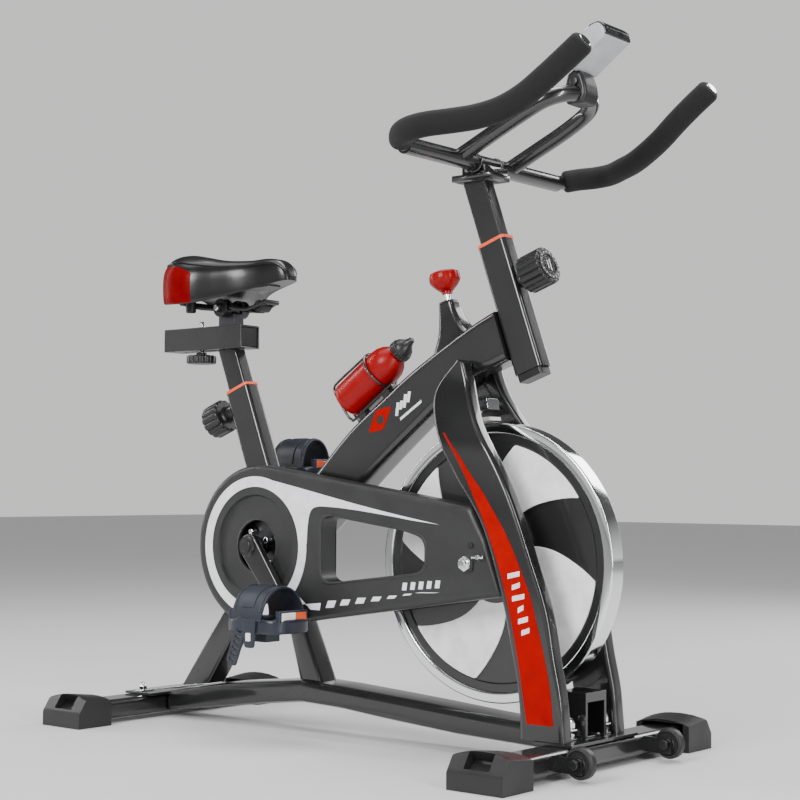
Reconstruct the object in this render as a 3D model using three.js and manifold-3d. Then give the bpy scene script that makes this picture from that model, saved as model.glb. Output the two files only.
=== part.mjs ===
// An indoor spin bike in millimetres, +Z up, +X towards the front wheel end, +Y to the rider's left.
// It is drawn about the crank axis (X = 0) and the whole group is then moved so that the origin
// is on the floor, under the middle of the bike.
import * as THREE from "three";
import { mergeVertices } from "three/addons/utils/BufferGeometryUtils.js";
import Module from "manifold-3d";

const wasm = await Module();
wasm.setup();

// ---------------------------------------------------------------- driving dimensions
const GAP = 0.3; // left between pieces that touch
const ORIGIN_SHIFT = -183.86; // from the crank axis to the middle of the bike's length

const CRANK = { x: 0, z: 288.5, length: 145, angle: -52 };
const WHEEL = { x: 414.4, z: 275.2, radius: 200, width: 30, rimDepth: 15 };
const CHAIN = { y: -50, crankRadius: 96, hubRadius: 32, width: 7, height: 8 };

const REAR_FOOT_X = -265.5;
const FRONT_FOOT_X = 567;
const STABILISER = { depth: 56, height: 30, bottom: 7, corner: 9 };
const ARCH_HALF = 35;
const REAR_HALF_WIDTH = 234.5;
const FRONT_HALF_WIDTH = 264.5;
const FOOT = { length: 67, depth: 88.5, lip: 22, crest: 50, rest: 39 };

const TUBE_WIDTH = 30; // seat tube and head tube, across
const SEAT = { x: -6, z: 288.5, tilt: 21.1, depth: 50, top: 268 };
const HEAD = { x: 411.5, z: 726, tilt: 19.35, depth: 48, top: 9, bottom: -189 };
const POST = { depth: 38, width: 24 };
const KNOB = { radius: 28, pin: 4 };

const FORK = { inner: 55, outer: 80, rise: 430, peak: 567, pinch: 29.4 };
const TOP_TUBE_HALF = 25;
const GUARD = { radius: 126, face: -74, back: -40, wall: 3, crankHole: 40 };

const SLEEVE = { rear: -267, front: -86, bottom: 607, top: 645, width: 45, wall: 3 };
const CLAMP_AXIS = { x: -129, z: 674 };
const SLIDER_BOLT_X = -199;

const BAR = { x: 388, z: 853, radius: 12.5, grip: 17, halfLength: 188 };
const BRAKE = { tilt: 12.5, x: 323, z: 655, padGap: 4 };
const BOTTLE = { x: 126, z: 513, tilt: 35.5, radius: 29, body: 107 };
const CAST = { x: 628, y: 114, z: 26, radius: 21.5, width: 17 };

// ---------------------------------------------------------------- materials
const finish = (color, roughness, metalness) =>
  new THREE.MeshStandardMaterial({ color, roughness, metalness });
const BLACK_PAINT = finish(0x2a2b2c, 0.35, 0.4);
const CHROME = finish(0xd8dadd, 0.12, 1);
const DARK_STEEL = finish(0x3a3c3f, 0.4, 0.8);
const BLACK_PLASTIC = finish(0x1b1b1c, 0.5, 0);
const GREY_PLASTIC = finish(0x4a4b4c, 0.55, 0);
const SILVER_PLASTIC = finish(0xc4c7c9, 0.35, 0.2);
const PEDAL_PLASTIC = finish(0x2b303a, 0.45, 0);
const RUBBER = finish(0x161617, 0.85, 0);
const FOAM = finish(0x1f1f20, 0.95, 0);
const VINYL = finish(0x111112, 0.3, 0);
const ORANGE = finish(0xe8562a, 0.5, 0);
const RED = finish(0xc8161c, 0.25, 0);
const FELT = finish(0xe6e4de, 0.95, 0);

// ---------------------------------------------------------------- shape helpers
const radians = THREE.MathUtils.degToRad;

// A closed geometry as a solid that can be joined and cut.
function solid(geometry) {
  const bare = geometry.index ? geometry.toNonIndexed() : geometry.clone();
  bare.deleteAttribute("normal");
  bare.deleteAttribute("uv");
  const merged = mergeVertices(bare, 1e-3);
  return new wasm.Manifold(
    new wasm.Mesh({
      numProp: 3,
      vertProperties: merged.attributes.position.array,
      triVerts: new Uint32Array(merged.index.array),
    }),
  );
}

function geometryOf(manifold) {
  const mesh = manifold.getMesh();
  const positions = new Float32Array(mesh.numVert * 3);
  for (let i = 0; i < mesh.numVert; i++) {
    const start = i * mesh.numProp;
    positions.set(mesh.vertProperties.subarray(start, start + 3), i * 3);
  }
  const geometry = new THREE.BufferGeometry();
  geometry.setAttribute("position", new THREE.BufferAttribute(positions, 3));
  geometry.setIndex(new THREE.BufferAttribute(mesh.triVerts, 1));
  return geometry;
}

const join = (first, ...others) =>
  geometryOf(others.reduce((sum, part) => sum.add(solid(part)), solid(first)));
const cut = (body, ...tools) =>
  geometryOf(tools.reduce((left, tool) => left.subtract(solid(tool)), solid(body)));
const common = (first, second) => geometryOf(solid(first).intersect(solid(second)));

function moved(geometry, x, y, z) {
  return geometry.clone().translate(x, y, z);
}

// A box given by its lowest and highest corners.
function block(low, high) {
  const size = high.map((value, i) => value - low[i]);
  const middle = high.map((value, i) => (value + low[i]) / 2);
  return new THREE.BoxGeometry(...size).translate(...middle);
}

// A cylinder along Y between two values of Y.
function crossBar(radius, x, z, low, high, sides = 20) {
  const bar = new THREE.CylinderGeometry(radius, radius, high - low, sides);
  return bar.translate(x, (low + high) / 2, z);
}

// A round rod along Z between two heights.
function rod(radius, low, high, sides = 12) {
  const cylinder = new THREE.CylinderGeometry(radius, radius, high - low, sides);
  return cylinder.rotateX(Math.PI / 2).translate(0, 0, (low + high) / 2);
}

// A side-view outline, drawn in X and Z, made solid between two values of Y with rounded long edges.
function sideSolid(shape, low, high, round = 0, curveSegments = 8) {
  const solidShape = new THREE.ExtrudeGeometry(shape, {
    depth: high - low - 2 * round,
    bevelEnabled: round > 0,
    bevelThickness: round,
    bevelSize: round,
    bevelOffset: -round,
    bevelSegments: 2,
    curveSegments,
  });
  return solidShape.rotateX(Math.PI / 2).translate(0, high - round, 0);
}

// An outline through a list of [x, z] points.
const outline = (points) => new THREE.Shape(points.map(([x, z]) => new THREE.Vector2(x, z)));

function roundedRectangle(width, height, corner) {
  const shape = new THREE.Shape();
  const [w, h] = [width / 2, height / 2];
  shape.moveTo(-w + corner, -h);
  shape.lineTo(w - corner, -h).absarc(w - corner, -h + corner, corner, -Math.PI / 2, 0);
  shape.lineTo(w, h - corner).absarc(w - corner, h - corner, corner, 0, Math.PI / 2);
  shape.lineTo(-w + corner, h).absarc(-w + corner, h - corner, corner, Math.PI / 2, Math.PI);
  shape.lineTo(-w, -h + corner).absarc(-w + corner, -h + corner, corner, Math.PI, 1.5 * Math.PI);
  return shape;
}

// A prism of a section in X and Y, standing from one value of Z to another.
function upright(shape, low, high, curveSegments = 3) {
  const prism = new THREE.ExtrudeGeometry(shape, {
    depth: high - low,
    bevelEnabled: false,
    curveSegments,
  });
  return prism.translate(0, 0, low);
}

// Puts geometry that was drawn along +Z about an axis that leans in the XZ plane.
function leaning(geometry, axis, tilt = axis.tilt) {
  return geometry.rotateY(-radians(tilt)).translate(axis.x, 0, axis.z);
}

// A round bar along a smooth path.
function bar(points, radius, steps, sides = 12) {
  const path = new THREE.CatmullRomCurve3(points.map((p) => new THREE.Vector3(...p)));
  const section = new THREE.Shape().absarc(0, 0, radius, 0, 2 * Math.PI);
  return new THREE.ExtrudeGeometry(section, {
    steps,
    extrudePath: path,
    curveSegments: sides,
    bevelEnabled: false,
  });
}

// A turned solid about Y, from [radius, y] points that start and end on the axis or close.
function turned(profile, x, z, sides = 32) {
  const points = profile.map(([radius, y]) => new THREE.Vector2(radius, y));
  return new THREE.LatheGeometry(points, sides).translate(x, 0, z);
}

// The outline of a belt round two wheels, drawn anticlockwise in X and Z.
function beltOutline(rear, front) {
  const run = Math.hypot(front.x - rear.x, front.z - rear.z);
  const slope = Math.atan2(front.z - rear.z, front.x - rear.x);
  const lean = Math.acos((rear.radius - front.radius) / run);
  const shape = new THREE.Shape();
  shape.absarc(rear.x, rear.z, rear.radius, slope + lean, slope - lean + 2 * Math.PI, false);
  shape.absarc(front.x, front.z, front.radius, slope - lean, slope + lean, false);
  return shape;
}

const bike = new THREE.Group();

function add(name, geometry, material) {
  const mesh = new THREE.Mesh(geometry, material);
  mesh.name = name;
  bike.add(mesh);
}

const SIDES = [
  ["right", -1],
  ["left", 1],
];

// The mirror image of a geometry in the bike's middle plane, with its faces turned back out.
function onSide(geometry, side) {
  return side > 0 ? geometry : geometryOf(solid(geometry).mirror([0, 1, 0]));
}

// ---------------------------------------------------------------- base
function stabiliser(x, halfWidth) {
  const top = STABILISER.bottom + STABILISER.height;
  const section = roundedRectangle(STABILISER.depth, STABILISER.height, STABILISER.corner);
  const tube = sideSolid(section, -halfWidth, halfWidth, 0, 4);
  return tube.translate(x, 0, (top + STABILISER.bottom) / 2);
}

// A foot cap: a lip and a sloped face outside, a pocket that takes the stabiliser's end.
function foot(x, end) {
  const profile = outline([
    [0, 0],
    [FOOT.length, 0],
    [FOOT.length, FOOT.rest],
    [18, FOOT.crest],
    [0, FOOT.lip],
  ]);
  const half = FOOT.depth / 2;
  const cap = new THREE.ExtrudeGeometry(profile, {
    depth: FOOT.depth - 12,
    bevelThickness: 6,
    bevelSize: 6,
    bevelOffset: -6,
    bevelSegments: 1,
  });
  cap.rotateX(Math.PI / 2).rotateZ(-Math.PI / 2).translate(half - 6, end, 0);
  const pocketLow = STABILISER.bottom - GAP;
  const pocketHigh = STABILISER.bottom + STABILISER.height + GAP;
  const reach = STABILISER.depth / 2 + GAP;
  const pocket = block(
    [-reach, end - FOOT.length - 1, pocketLow],
    [reach, end - 25, pocketHigh],
  );
  const window = block([-20, -30, -9], [20, 30, 9]);
  window.rotateX(-radians(32)).translate(0, end - 4, 37);
  return cut(cap, pocket, window).translate(x, 0, 0);
}

function wheelLugs() {
  const lugs = [];
  for (const [, side] of SIDES) {
    for (const offset of [-CAST.width / 2 - 4.5, CAST.width / 2 + 0.5]) {
      const low = side * CAST.y + offset;
      lugs.push(block([FRONT_FOOT_X + 15, low, 13], [CAST.x + 9, low + 4, 34]));
    }
  }
  return lugs;
}

function castAxleHole(side) {
  return crossBar(4 + GAP, CAST.x, CAST.z, side * CAST.y - 20, side * CAST.y + 20, 12);
}

function base() {
  const frontHalf = FRONT_HALF_WIDTH - 26;
  const withLugs = join(stabiliser(FRONT_FOOT_X, frontHalf), ...wheelLugs());
  const wheelWell = (side) =>
    crossBar(CAST.radius + 2, CAST.x, CAST.z, side * CAST.y - 10.4, side * CAST.y + 10.4);
  const tools = [wheelWell(-1), wheelWell(1), castAxleHole(-1), castAxleHole(1)];
  add("front_stabiliser", cut(withLugs, ...tools), BLACK_PAINT);
  add("rear_stabiliser", stabiliser(REAR_FOOT_X, REAR_HALF_WIDTH - 26), BLACK_PAINT);
  for (const [word, side] of SIDES) {
    add("rear_foot_" + word, onSide(foot(REAR_FOOT_X, REAR_HALF_WIDTH), side), BLACK_PLASTIC);
    add("front_foot_" + word, onSide(foot(FRONT_FOOT_X, FRONT_HALF_WIDTH), side), BLACK_PLASTIC);
  }
}

// The side view of the arched tube, its top raised by an offset.
function archOutline(rear, front, raise) {
  const under = [
    [rear, 8],
    [-132, 23],
    [-18, 39],
    [63, 48],
    [142, 45],
    [235, 37],
    [360, 28],
    [front, 22],
  ];
  const over = [
    [front, 52],
    [401, 61],
    [310, 68],
    [235, 73],
    [136, 79],
    [62, 82],
    [-18, 74],
    [-104, 65],
    [rear, 41],
  ];
  return outline([...under, ...over.map(([x, z]) => [x, z + raise])]);
}

// What clears the arched tube's top under the legs that stand on it.
const archClearance = () => sideSolid(archOutline(-300, 540, GAP), -60, 60, 0, 5);

// The single arched tube between the stabilisers, with the plates that sit on them.
function baseTube() {
  const rearEdge = REAR_FOOT_X + STABILISER.depth / 2 + GAP;
  const frontEdge = FRONT_FOOT_X - STABILISER.depth / 2 - GAP;
  const top = STABILISER.bottom + STABILISER.height + GAP;
  const tube = sideSolid(archOutline(rearEdge, frontEdge, 0), -ARCH_HALF, ARCH_HALF, 9, 5);
  const rearPlate = block([REAR_FOOT_X - 27, -76, top], [rearEdge + 6, 76, top + 4]);
  const frontPlate = block([frontEdge - 8, -84, top], [FRONT_FOOT_X + 27, 84, top + 4]);
  const tower = block([frontEdge - 6, -26, top], [frontEdge + 40, 26, 104]);
  const hollow = block([frontEdge - 1, -21, top + 4], [frontEdge + 41, 21, 91]);
  const strapSlot = block([FRONT_FOOT_X - 13, -60, top + 4], [FRONT_FOOT_X + 5, 60, top + 8]);
  const body = join(tube, rearPlate, frontPlate, tower);
  const holes = [-1, 1].flatMap((side) => [
    moved(rod(4.4, 30, 60), REAR_FOOT_X, side * 62, 0),
    moved(rod(4.4, 30, 60), FRONT_FOOT_X - 4, side * 42, 0),
  ]);
  add("base_tube", cut(body, hollow, strapSlot, ...holes), BLACK_PAINT);
}

// Two dome nuts on one strap plate.
function dressedStrap(x, spread) {
  const plateLow = STABILISER.bottom + STABILISER.height + 4 + 2 * GAP;
  const parts = [block([x - 8, -spread - 9, plateLow], [x + 8, spread + 9, plateLow + 2])];
  for (const side of [-1, 1]) {
    const dome = new THREE.SphereGeometry(6, 10, 6);
    parts.push(
      moved(rod(7.5, plateLow + 1, plateLow + 8.5, 6), x, side * spread, 0),
      moved(dome, x, side * spread, plateLow + 8.5),
      moved(rod(4, plateLow - 4, plateLow + 1, 10), x, side * spread, 0),
    );
  }
  return join(...parts);
}

function baseBolts() {
  add("rear_bolts", dressedStrap(REAR_FOOT_X, 62), CHROME);
  add("front_bolts", dressedStrap(FRONT_FOOT_X - 4, 42), CHROME);
}

// ---------------------------------------------------------------- rear frame
function rearFrame() {
  const shellRadius = 24;
  const shell = crossBar(shellRadius, CRANK.x, CRANK.z, -34, 34, 28);
  const bore = crossBar(17, CRANK.x, CRANK.z, -35, 35, 24);
  add("bottom_bracket_shell", cut(shell, bore), BLACK_PAINT);

  const clearShell = crossBar(shellRadius + GAP, CRANK.x, CRANK.z, -60, 60, 28);
  const arm = (points) => cut(sideSolid(outline(points), -20, 20, 6), clearShell);
  const rearLeg = arm([
    [-226, 40],
    [-166, 40],
    [-8, 270],
    [-12, 300],
    [-34, 300],
  ]);
  const frontLeg = arm([
    [53, 60],
    [102, 60],
    [52, 170],
    [26, 272],
    [0, 262],
    [-4, 246],
  ]);
  add("rear_leg", cut(rearLeg, archClearance(), frontLegClearance()), BLACK_PAINT);
  add("front_leg", cut(frontLeg, archClearance()), BLACK_PAINT);

  const tubeSection = roundedRectangle(SEAT.depth, TUBE_WIDTH, 6);
  const bore2 = roundedRectangle(POST.depth + 2, POST.width + 1, 2);
  const outer = leaning(upright(tubeSection, 20, SEAT.top), SEAT);
  const inner = leaning(upright(bore2, 46, SEAT.top + 10), SEAT);
  const pinHole = leaning(pin(SEAT_KNOB, 60, KNOB.pin + 1.2), SEAT);
  add("seat_tube", cut(outer, inner, clearShell, rearLegClearance(), pinHole), BLACK_PAINT);
  add("seat_collar", collar(SEAT, SEAT.top), ORANGE);
}

// Cutters that keep the three members at the crank clear of each other.
function frontLegClearance() {
  return sideSolid(outline([[-8, 60], [110, 60], [60, 170], [20, 300], [-14, 262]]), -21, 21);
}

function rearLegClearance() {
  return sideSolid(outline([[-240, 40], [-150, 40], [20, 272], [0, 305], [-40, 305]]), -21, 21);
}

function collar(axis, top) {
  const ring = upright(roundedRectangle(axis.depth + 1, TUBE_WIDTH + 1, 6), top + GAP, top + 5);
  const hole = upright(roundedRectangle(POST.depth + 1, POST.width + 1, 2), top - 1, top + 6);
  return leaning(cut(ring, hole), axis);
}

// ---------------------------------------------------------------- main frame
const FRAME_TOP = [
  [8, 333],
  [80, 404],
  [147, 468],
  [216, 518],
  [264, 552],
  [330, 591],
  [384, 620],
  [440, 645],
];
const FRAME_UNDER = [
  [470, 574],
  [420, 555],
  [367, 537],
  [293, 480],
  [217, 419],
  [147, 359],
  [34, 262],
];

function mainFrame() {
  const tube = sideSolid(outline([...FRAME_TOP, ...FRAME_UNDER].reverse()), -25, 25, 10);
  const clearShell = crossBar(24 + GAP, CRANK.x, CRANK.z, -60, 60, 28);
  const headBlock = roundedRectangle(HEAD.depth + 2 * GAP, TUBE_WIDTH + 60, 1);
  const clearHead = leaning(upright(headBlock, -260, 60), HEAD);
  const seatBlock = roundedRectangle(SEAT.depth + 2 * GAP, TUBE_WIDTH + 60, 1);
  const clearSeat = leaning(upright(seatBlock, 0, 300), SEAT);
  const rodBore = leaning(rod(7, -200, 40), BRAKE);
  const clearLeg = frontLegClearance();
  const body = cut(tube, clearShell, clearHead, clearSeat, rodBore, clearLeg);
  add("top_tube", body, BLACK_PAINT);

  const outer = upright(roundedRectangle(HEAD.depth, TUBE_WIDTH, 6), HEAD.bottom, HEAD.top);
  const bore = roundedRectangle(POST.depth + 2, POST.width + 1, 2);
  const inner = upright(bore, HEAD.bottom - 5, HEAD.top + 5);
  const pinHole = pin(HEAD_KNOB, 60, KNOB.pin + 1.2);
  add("head_tube", leaning(cut(outer, inner, pinHole), HEAD), BLACK_PAINT);
  add("head_collar", collar(HEAD, HEAD.top), ORANGE);

  const plug = join(
    upright(roundedRectangle(HEAD.depth - 6, TUBE_WIDTH - 4, 4), HEAD.bottom - 11, HEAD.bottom - GAP),
    upright(roundedRectangle(POST.depth, POST.width - 1, 2), HEAD.bottom - 1, HEAD.bottom + 14),
  );
  add("head_tube_plug", leaning(plug, HEAD), BLACK_PLASTIC);
}

// ---------------------------------------------------------------- fork
const FORK_REAR = [
  [374, 566],
  [344, 536],
  [336, 512],
  [347, 478],
  [369, 437],
  [398, 392],
  [440, 329],
  [471, 241],
  [491, 160],
  [503, 93],
  [506, 41.5],
];
const FORK_FRONT = [
  [578, 41.5],
  [573, 99],
  [562, 151],
  [549, 217],
  [524, 284],
  [491, 365],
  [457, 427],
  [422, 476],
  [401, 516],
  [386, 560],
];

// A fork leg is flat below and leans in to the frame tube above.
function forkLeg(side) {
  const leg = sideSolid(outline([...FORK_REAR, ...FORK_FRONT]), FORK.inner, FORK.outer, 5);
  const positions = leg.attributes.position;
  for (let i = 0; i < positions.count; i++) {
    const height = positions.getZ(i);
    const share = THREE.MathUtils.smoothstep(height, FORK.rise, FORK.peak - 20);
    positions.setY(i, positions.getY(i) - FORK.pinch * share);
  }
  const lug = block([388, 60, 254], [464, 66, 298]);
  const slot = crossBar(6 + GAP, WHEEL.x, WHEEL.z, 50, 70);
  return onSide(cut(join(leg, lug), slot), side);
}

function fork() {
  for (const [word, side] of SIDES) add("fork_leg_" + word, forkLeg(side), BLACK_PAINT);
}

// ---------------------------------------------------------------- flywheel and drive
function flywheel() {
  const half = WHEEL.width / 2;
  const { radius, rimDepth } = WHEEL;
  const disc = [
    [22, -half + 6],
    [radius - rimDepth, -half + 6],
    [radius - rimDepth + 1, -half],
    [radius - 1, -half],
    [radius, -half + 1],
    [radius, half - 1],
    [radius - 1, half],
    [radius - rimDepth + 1, half],
    [radius - rimDepth, half - 6],
    [22, half - 6],
    [22, half + 6],
    [7, half + 6],
    [7, -44],
    [16, -44],
    [22, -half - 6],
    [22, -half + 6],
  ];
  add("flywheel", turned(disc, WHEEL.x, WHEEL.z, 44), CHROME);

  const teeth = [
    [7, CHAIN.y - 2],
    [CHAIN.hubRadius, CHAIN.y - 2],
    [CHAIN.hubRadius, CHAIN.y + 2],
    [7, CHAIN.y + 2],
    [7, CHAIN.y - 2],
  ];
  add("flywheel_sprocket", turned(teeth, WHEEL.x, WHEEL.z, 20), DARK_STEEL);

  const nut = (low, high) => crossBar(11, WHEEL.x, WHEEL.z, low, high, 6);
  const axle = join(
    crossBar(6, WHEEL.x, WHEEL.z, -90, 78, 16),
    nut(-84, -75),
    nut(66.4, 74),
  );
  add("flywheel_axle", axle, CHROME);
}

function drive() {
  const ring = [
    [13, CHAIN.y - 1.5],
    [CHAIN.crankRadius, CHAIN.y - 1.5],
    [CHAIN.crankRadius, CHAIN.y + 1.5],
    [13, CHAIN.y + 1.5],
    [13, CHAIN.y - 1.5],
  ];
  add("chainring", turned(ring, CRANK.x, CRANK.z, 36), DARK_STEEL);
  const axle = join(
    crossBar(8, CRANK.x, CRANK.z, -93, 93, 16),
    crossBar(13 - GAP, CRANK.x, CRANK.z, -60, -37, 20),
  );
  add("crank_axle", axle, DARK_STEEL);

  const wheels = (extra) => [
    { x: CRANK.x, z: CRANK.z, radius: CHAIN.crankRadius + extra },
    { x: WHEEL.x, z: WHEEL.z, radius: CHAIN.hubRadius + extra },
  ];
  const loop = beltOutline(...wheels(GAP + CHAIN.height));
  loop.holes.push(beltOutline(...wheels(GAP)));
  const half = CHAIN.width / 2;
  add("chain", sideSolid(loop, CHAIN.y - half, CHAIN.y + half, 0, 12), DARK_STEEL);
}

function pedalPoint(side) {
  const angle = radians(CRANK.angle) + (side > 0 ? Math.PI : 0);
  return {
    x: CRANK.x + CRANK.length * Math.cos(angle),
    z: CRANK.z + CRANK.length * Math.sin(angle),
  };
}

// A crank arm with its pedal's spindle.
function crankArm(side) {
  const { x, z } = pedalPoint(side);
  const arm = beltOutline({ x: CRANK.x, z: CRANK.z, radius: 19 }, { x, z, radius: 13 });
  const blank = sideSolid(arm, 78, 90, 0, 6);
  const bore = crossBar(8 + GAP, CRANK.x, CRANK.z, 70, 100, 16);
  const spindle = crossBar(7, x, z, 84, 172, 12);
  return onSide(join(cut(blank, bore), spindle), side);
}

function pedal(side) {
  const { x, z } = pedalPoint(side);
  const plate = upright(roundedRectangle(96, 84, 30), -13, 13, 5);
  const body = plate.translate(x, 136, z);
  const bore = crossBar(7 + GAP, x, z, 80, 174, 12);
  const weight = block([x - 22, 128, z - 30], [x + 22, 160, z - 12]);
  return onSide(cut(join(body, weight), bore), side);
}

// The strap: an arch over the pedal and a tail that hangs outside it.
function strap(side) {
  const { x, z } = pedalPoint(side);
  const arch = (half, height) => {
    const shape = new THREE.Shape();
    shape.moveTo(-half, 0);
    shape.bezierCurveTo(-half, height * 1.3, half * 0.7, height * 1.35, half, 0);
    return shape;
  };
  const band = (half, height, low, high) => {
    const geometry = new THREE.ExtrudeGeometry(arch(half, height), {
      depth: high - low,
      bevelEnabled: false,
      curveSegments: 12,
    });
    return geometry.rotateX(Math.PI / 2).rotateZ(Math.PI / 2).translate(low, 0, 0);
  };
  const outer = band(46, 55, -27, 27);
  const inner = band(42.5, 51.5, -30, 30).translate(0, 0, -0.01);
  const tunnel = cut(outer, inner).translate(x, 136, z + 13 + GAP);
  const tail = block([x - 14, 178.5, z - 52], [x + 14, 182, z + 20]);
  return onSide(join(tunnel, tail), side);
}

function cranks() {
  for (const [word, side] of SIDES) {
    add("crank_" + word, crankArm(side), DARK_STEEL);
    add("pedal_" + word, pedal(side), PEDAL_PLASTIC);
    add("pedal_strap_" + word, strap(side), RUBBER);
  }
}

// ---------------------------------------------------------------- chain guard
function guardOutline(inset) {
  const { x, z } = CRANK;
  const radius = GUARD.radius - inset;
  const shape = new THREE.Shape();
  const [low, high] = [radians(-82), radians(81.2)];
  shape.absarc(x, z, radius, high, low + 2 * Math.PI, false);
  shape.lineTo(462, 230 + inset);
  shape.lineTo(432, 304);
  shape.lineTo(404, 357 - inset);
  return shape;
}

// The window in the guard, grown or shrunk by an offset.
function guardWindow(grow) {
  const shape = new THREE.Shape();
  shape.moveTo(152 - grow, 236 - grow);
  shape.lineTo(300, 256 - grow);
  shape.quadraticCurveTo(334 + grow, 262 - grow, 337 + grow, 292);
  shape.quadraticCurveTo(336 + grow, 310 + grow, 300, 318 + grow);
  shape.lineTo(160, 337 + grow);
  shape.quadraticCurveTo(138 - grow, 340 + grow, 138 - grow, 322);
  shape.lineTo(138 - grow, 250);
  shape.quadraticCurveTo(138 - grow, 236 - grow, 152 - grow, 236 - grow);
  return shape;
}

function chainGuard() {
  const { face, back, wall } = GUARD;
  const skin = sideSolid(guardOutline(0), face, back, 0, 18);
  const room = sideSolid(guardOutline(wall), face + wall, back + 1, 0, 18);
  const openEnd = block([380, face + wall, 236], [480, back + 1, 345]);
  const tray = cut(skin, room, common(openEnd, sideSolid(guardOutline(-20), face, back + 1, 0, 12)));
  const windowWall = sideSolid(guardWindow(wall), face + 0.5, back, 0, 5);
  const opening = sideSolid(guardWindow(0), face - 5, back + 5, 0, 5);
  const crankHole = crossBar(GUARD.crankHole, CRANK.x, CRANK.z, face - 5, face + 5, 32);
  const axleHole = crossBar(9, WHEEL.x, WHEEL.z, face - 5, face + 5, 20);
  const clearLeg = sideSolid(outline(forkClearance()), -90, -30);
  const guard = cut(join(tray, windowWall), opening, crankHole, axleHole, clearLeg);
  add("chain_guard", guard, GREY_PLASTIC);

  const plate = sideSolid(guardOutline(1), back + GAP, back + 2 + GAP, 0, 18);
  const shellHole = crossBar(20, CRANK.x, CRANK.z, -60, -20, 24);
  const hubHole = crossBar(26, WHEEL.x, WHEEL.z, -60, -20, 24);
  const backPlate = cut(plate, opening, shellHole, hubHole, clearLeg);
  add("chain_guard_back", backPlate, GREY_PLASTIC);
}

// The fork leg's side view with 0.6 mm more at its rear edge.
function forkClearance() {
  return [...FORK_REAR.map(([x, z]) => [x - 0.6, z]), ...FORK_FRONT];
}

// ---------------------------------------------------------------- posts and knobs
// A pin and its place: height along the tube, side of the tube, and boss length.
const SEAT_KNOB = { along: 243, side: -1, boss: 20, grip: 36, wall: SEAT.depth / 2 };
const HEAD_KNOB = { along: -56, side: 1, boss: 10, grip: 41, wall: HEAD.depth / 2 };

// A round bar across the tube's depth at the knob's height, from the post's face outwards.
function pin(knob, length, radius) {
  const start = POST.depth / 2 + 2 * GAP;
  const rod = new THREE.CylinderGeometry(radius, radius, length, 14).rotateZ(Math.PI / 2);
  return rod.translate(knob.side * (start + length / 2), 0, knob.along);
}

// The knob with its boss and the pin that bears on the post.
function clampKnob(knob) {
  const face = knob.wall + GAP;
  const along = (radius, low, high, sides) => {
    const part = new THREE.CylinderGeometry(radius, radius, high - low, sides);
    part.rotateZ(Math.PI / 2);
    return part.translate(knob.side * ((low + high) / 2), 0, knob.along);
  };
  const gripLow = face + knob.boss;
  const end = gripLow + knob.grip;
  const parts = [
    along(12, face, gripLow + 1, 14),
    along(KNOB.radius, gripLow, end, 20),
    pin(knob, face + 6 - (POST.depth / 2 + 2 * GAP), KNOB.pin),
  ];
  return join(...parts);
}

function post(axis, low, high) {
  return leaning(upright(roundedRectangle(POST.depth, POST.width, 3), low, high), axis);
}

function posts() {
  add("seat_knob", leaning(clampKnob(SEAT_KNOB), SEAT), BLACK_PLASTIC);
  add("head_knob", leaning(clampKnob(HEAD_KNOB), HEAD), BLACK_PLASTIC);

  const above = block([-300, -60, SLEEVE.bottom - GAP], [100, 60, 900]);
  add("seat_post", cut(post(SEAT, 96, 360), above), BLACK_PAINT);

  const barBottom = BAR.z - BAR.radius;
  const overBar = block([300, -60, barBottom - 4], [460, 60, 900]);
  const stem = cut(post(HEAD, -140, 128), overBar);
  const saddle = block([347, -26, barBottom - 12], [414, 26, barBottom - 3]);
  const cradle = block([366, -26, barBottom - 4], [410, 26, barBottom + 8]);
  const channel = crossBar(BAR.radius + GAP, BAR.x, BAR.z, -40, 40, 24);
  add("handlebar_post", cut(join(stem, saddle, cradle), channel), BLACK_PAINT);
}

// ---------------------------------------------------------------- saddle
function saddleSlide() {
  const { rear, front, bottom, top, width, wall } = SLEEVE;
  const box = block([rear, -width / 2, bottom], [front, width / 2, top]);
  const hollow = block(
    [rear - 1, -width / 2 + wall, bottom + wall],
    [front + 1, width / 2 - wall, top - wall],
  );
  const topSlot = block([rear + 22, -8, top - wall - 1], [front - 12, 8, top + 1]);
  const boltSlot = block([SLIDER_BOLT_X - 42, -6, bottom - 1], [SLIDER_BOLT_X + 42, 6, bottom + wall + 1]);
  add("slider_sleeve", cut(box, hollow, topSlot, boltSlot), BLACK_PAINT);

  const slack = 0.5;
  const barHalf = width / 2 - wall - slack;
  const slider = block(
    [rear + 38, -barHalf, bottom + wall + slack],
    [front - 38, barHalf, top - wall - slack],
  );
  const neck = block([-150, -7.2, top - wall - 2], [-110, 7.2, top + 3]);
  const pillar = block([-148, -11, top + 1], [-112, 11, CLAMP_AXIS.z - 9]);
  const boltHole = moved(rod(5 + 2 * GAP, bottom - 9, top + 9), SLIDER_BOLT_X, 0, 0);
  add("slider_bar", cut(join(slider, neck, pillar, clampCheek()), boltHole), DARK_STEEL);

  const stud = rod(5, bottom - 15, top + 13);
  const grip = rod(25, bottom - 21, bottom - 7, 20);
  const boss = rod(9, bottom - 8, bottom - GAP, 14);
  const knob = join(stud, grip, boss).translate(SLIDER_BOLT_X, 0, 0);
  add("slider_knob", knob, BLACK_PLASTIC);
}

// The pillar's round head, which the saddle clamp holds.
function clampCheek() {
  return crossBar(11, CLAMP_AXIS.x, CLAMP_AXIS.z, -11, 11, 24);
}

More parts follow.
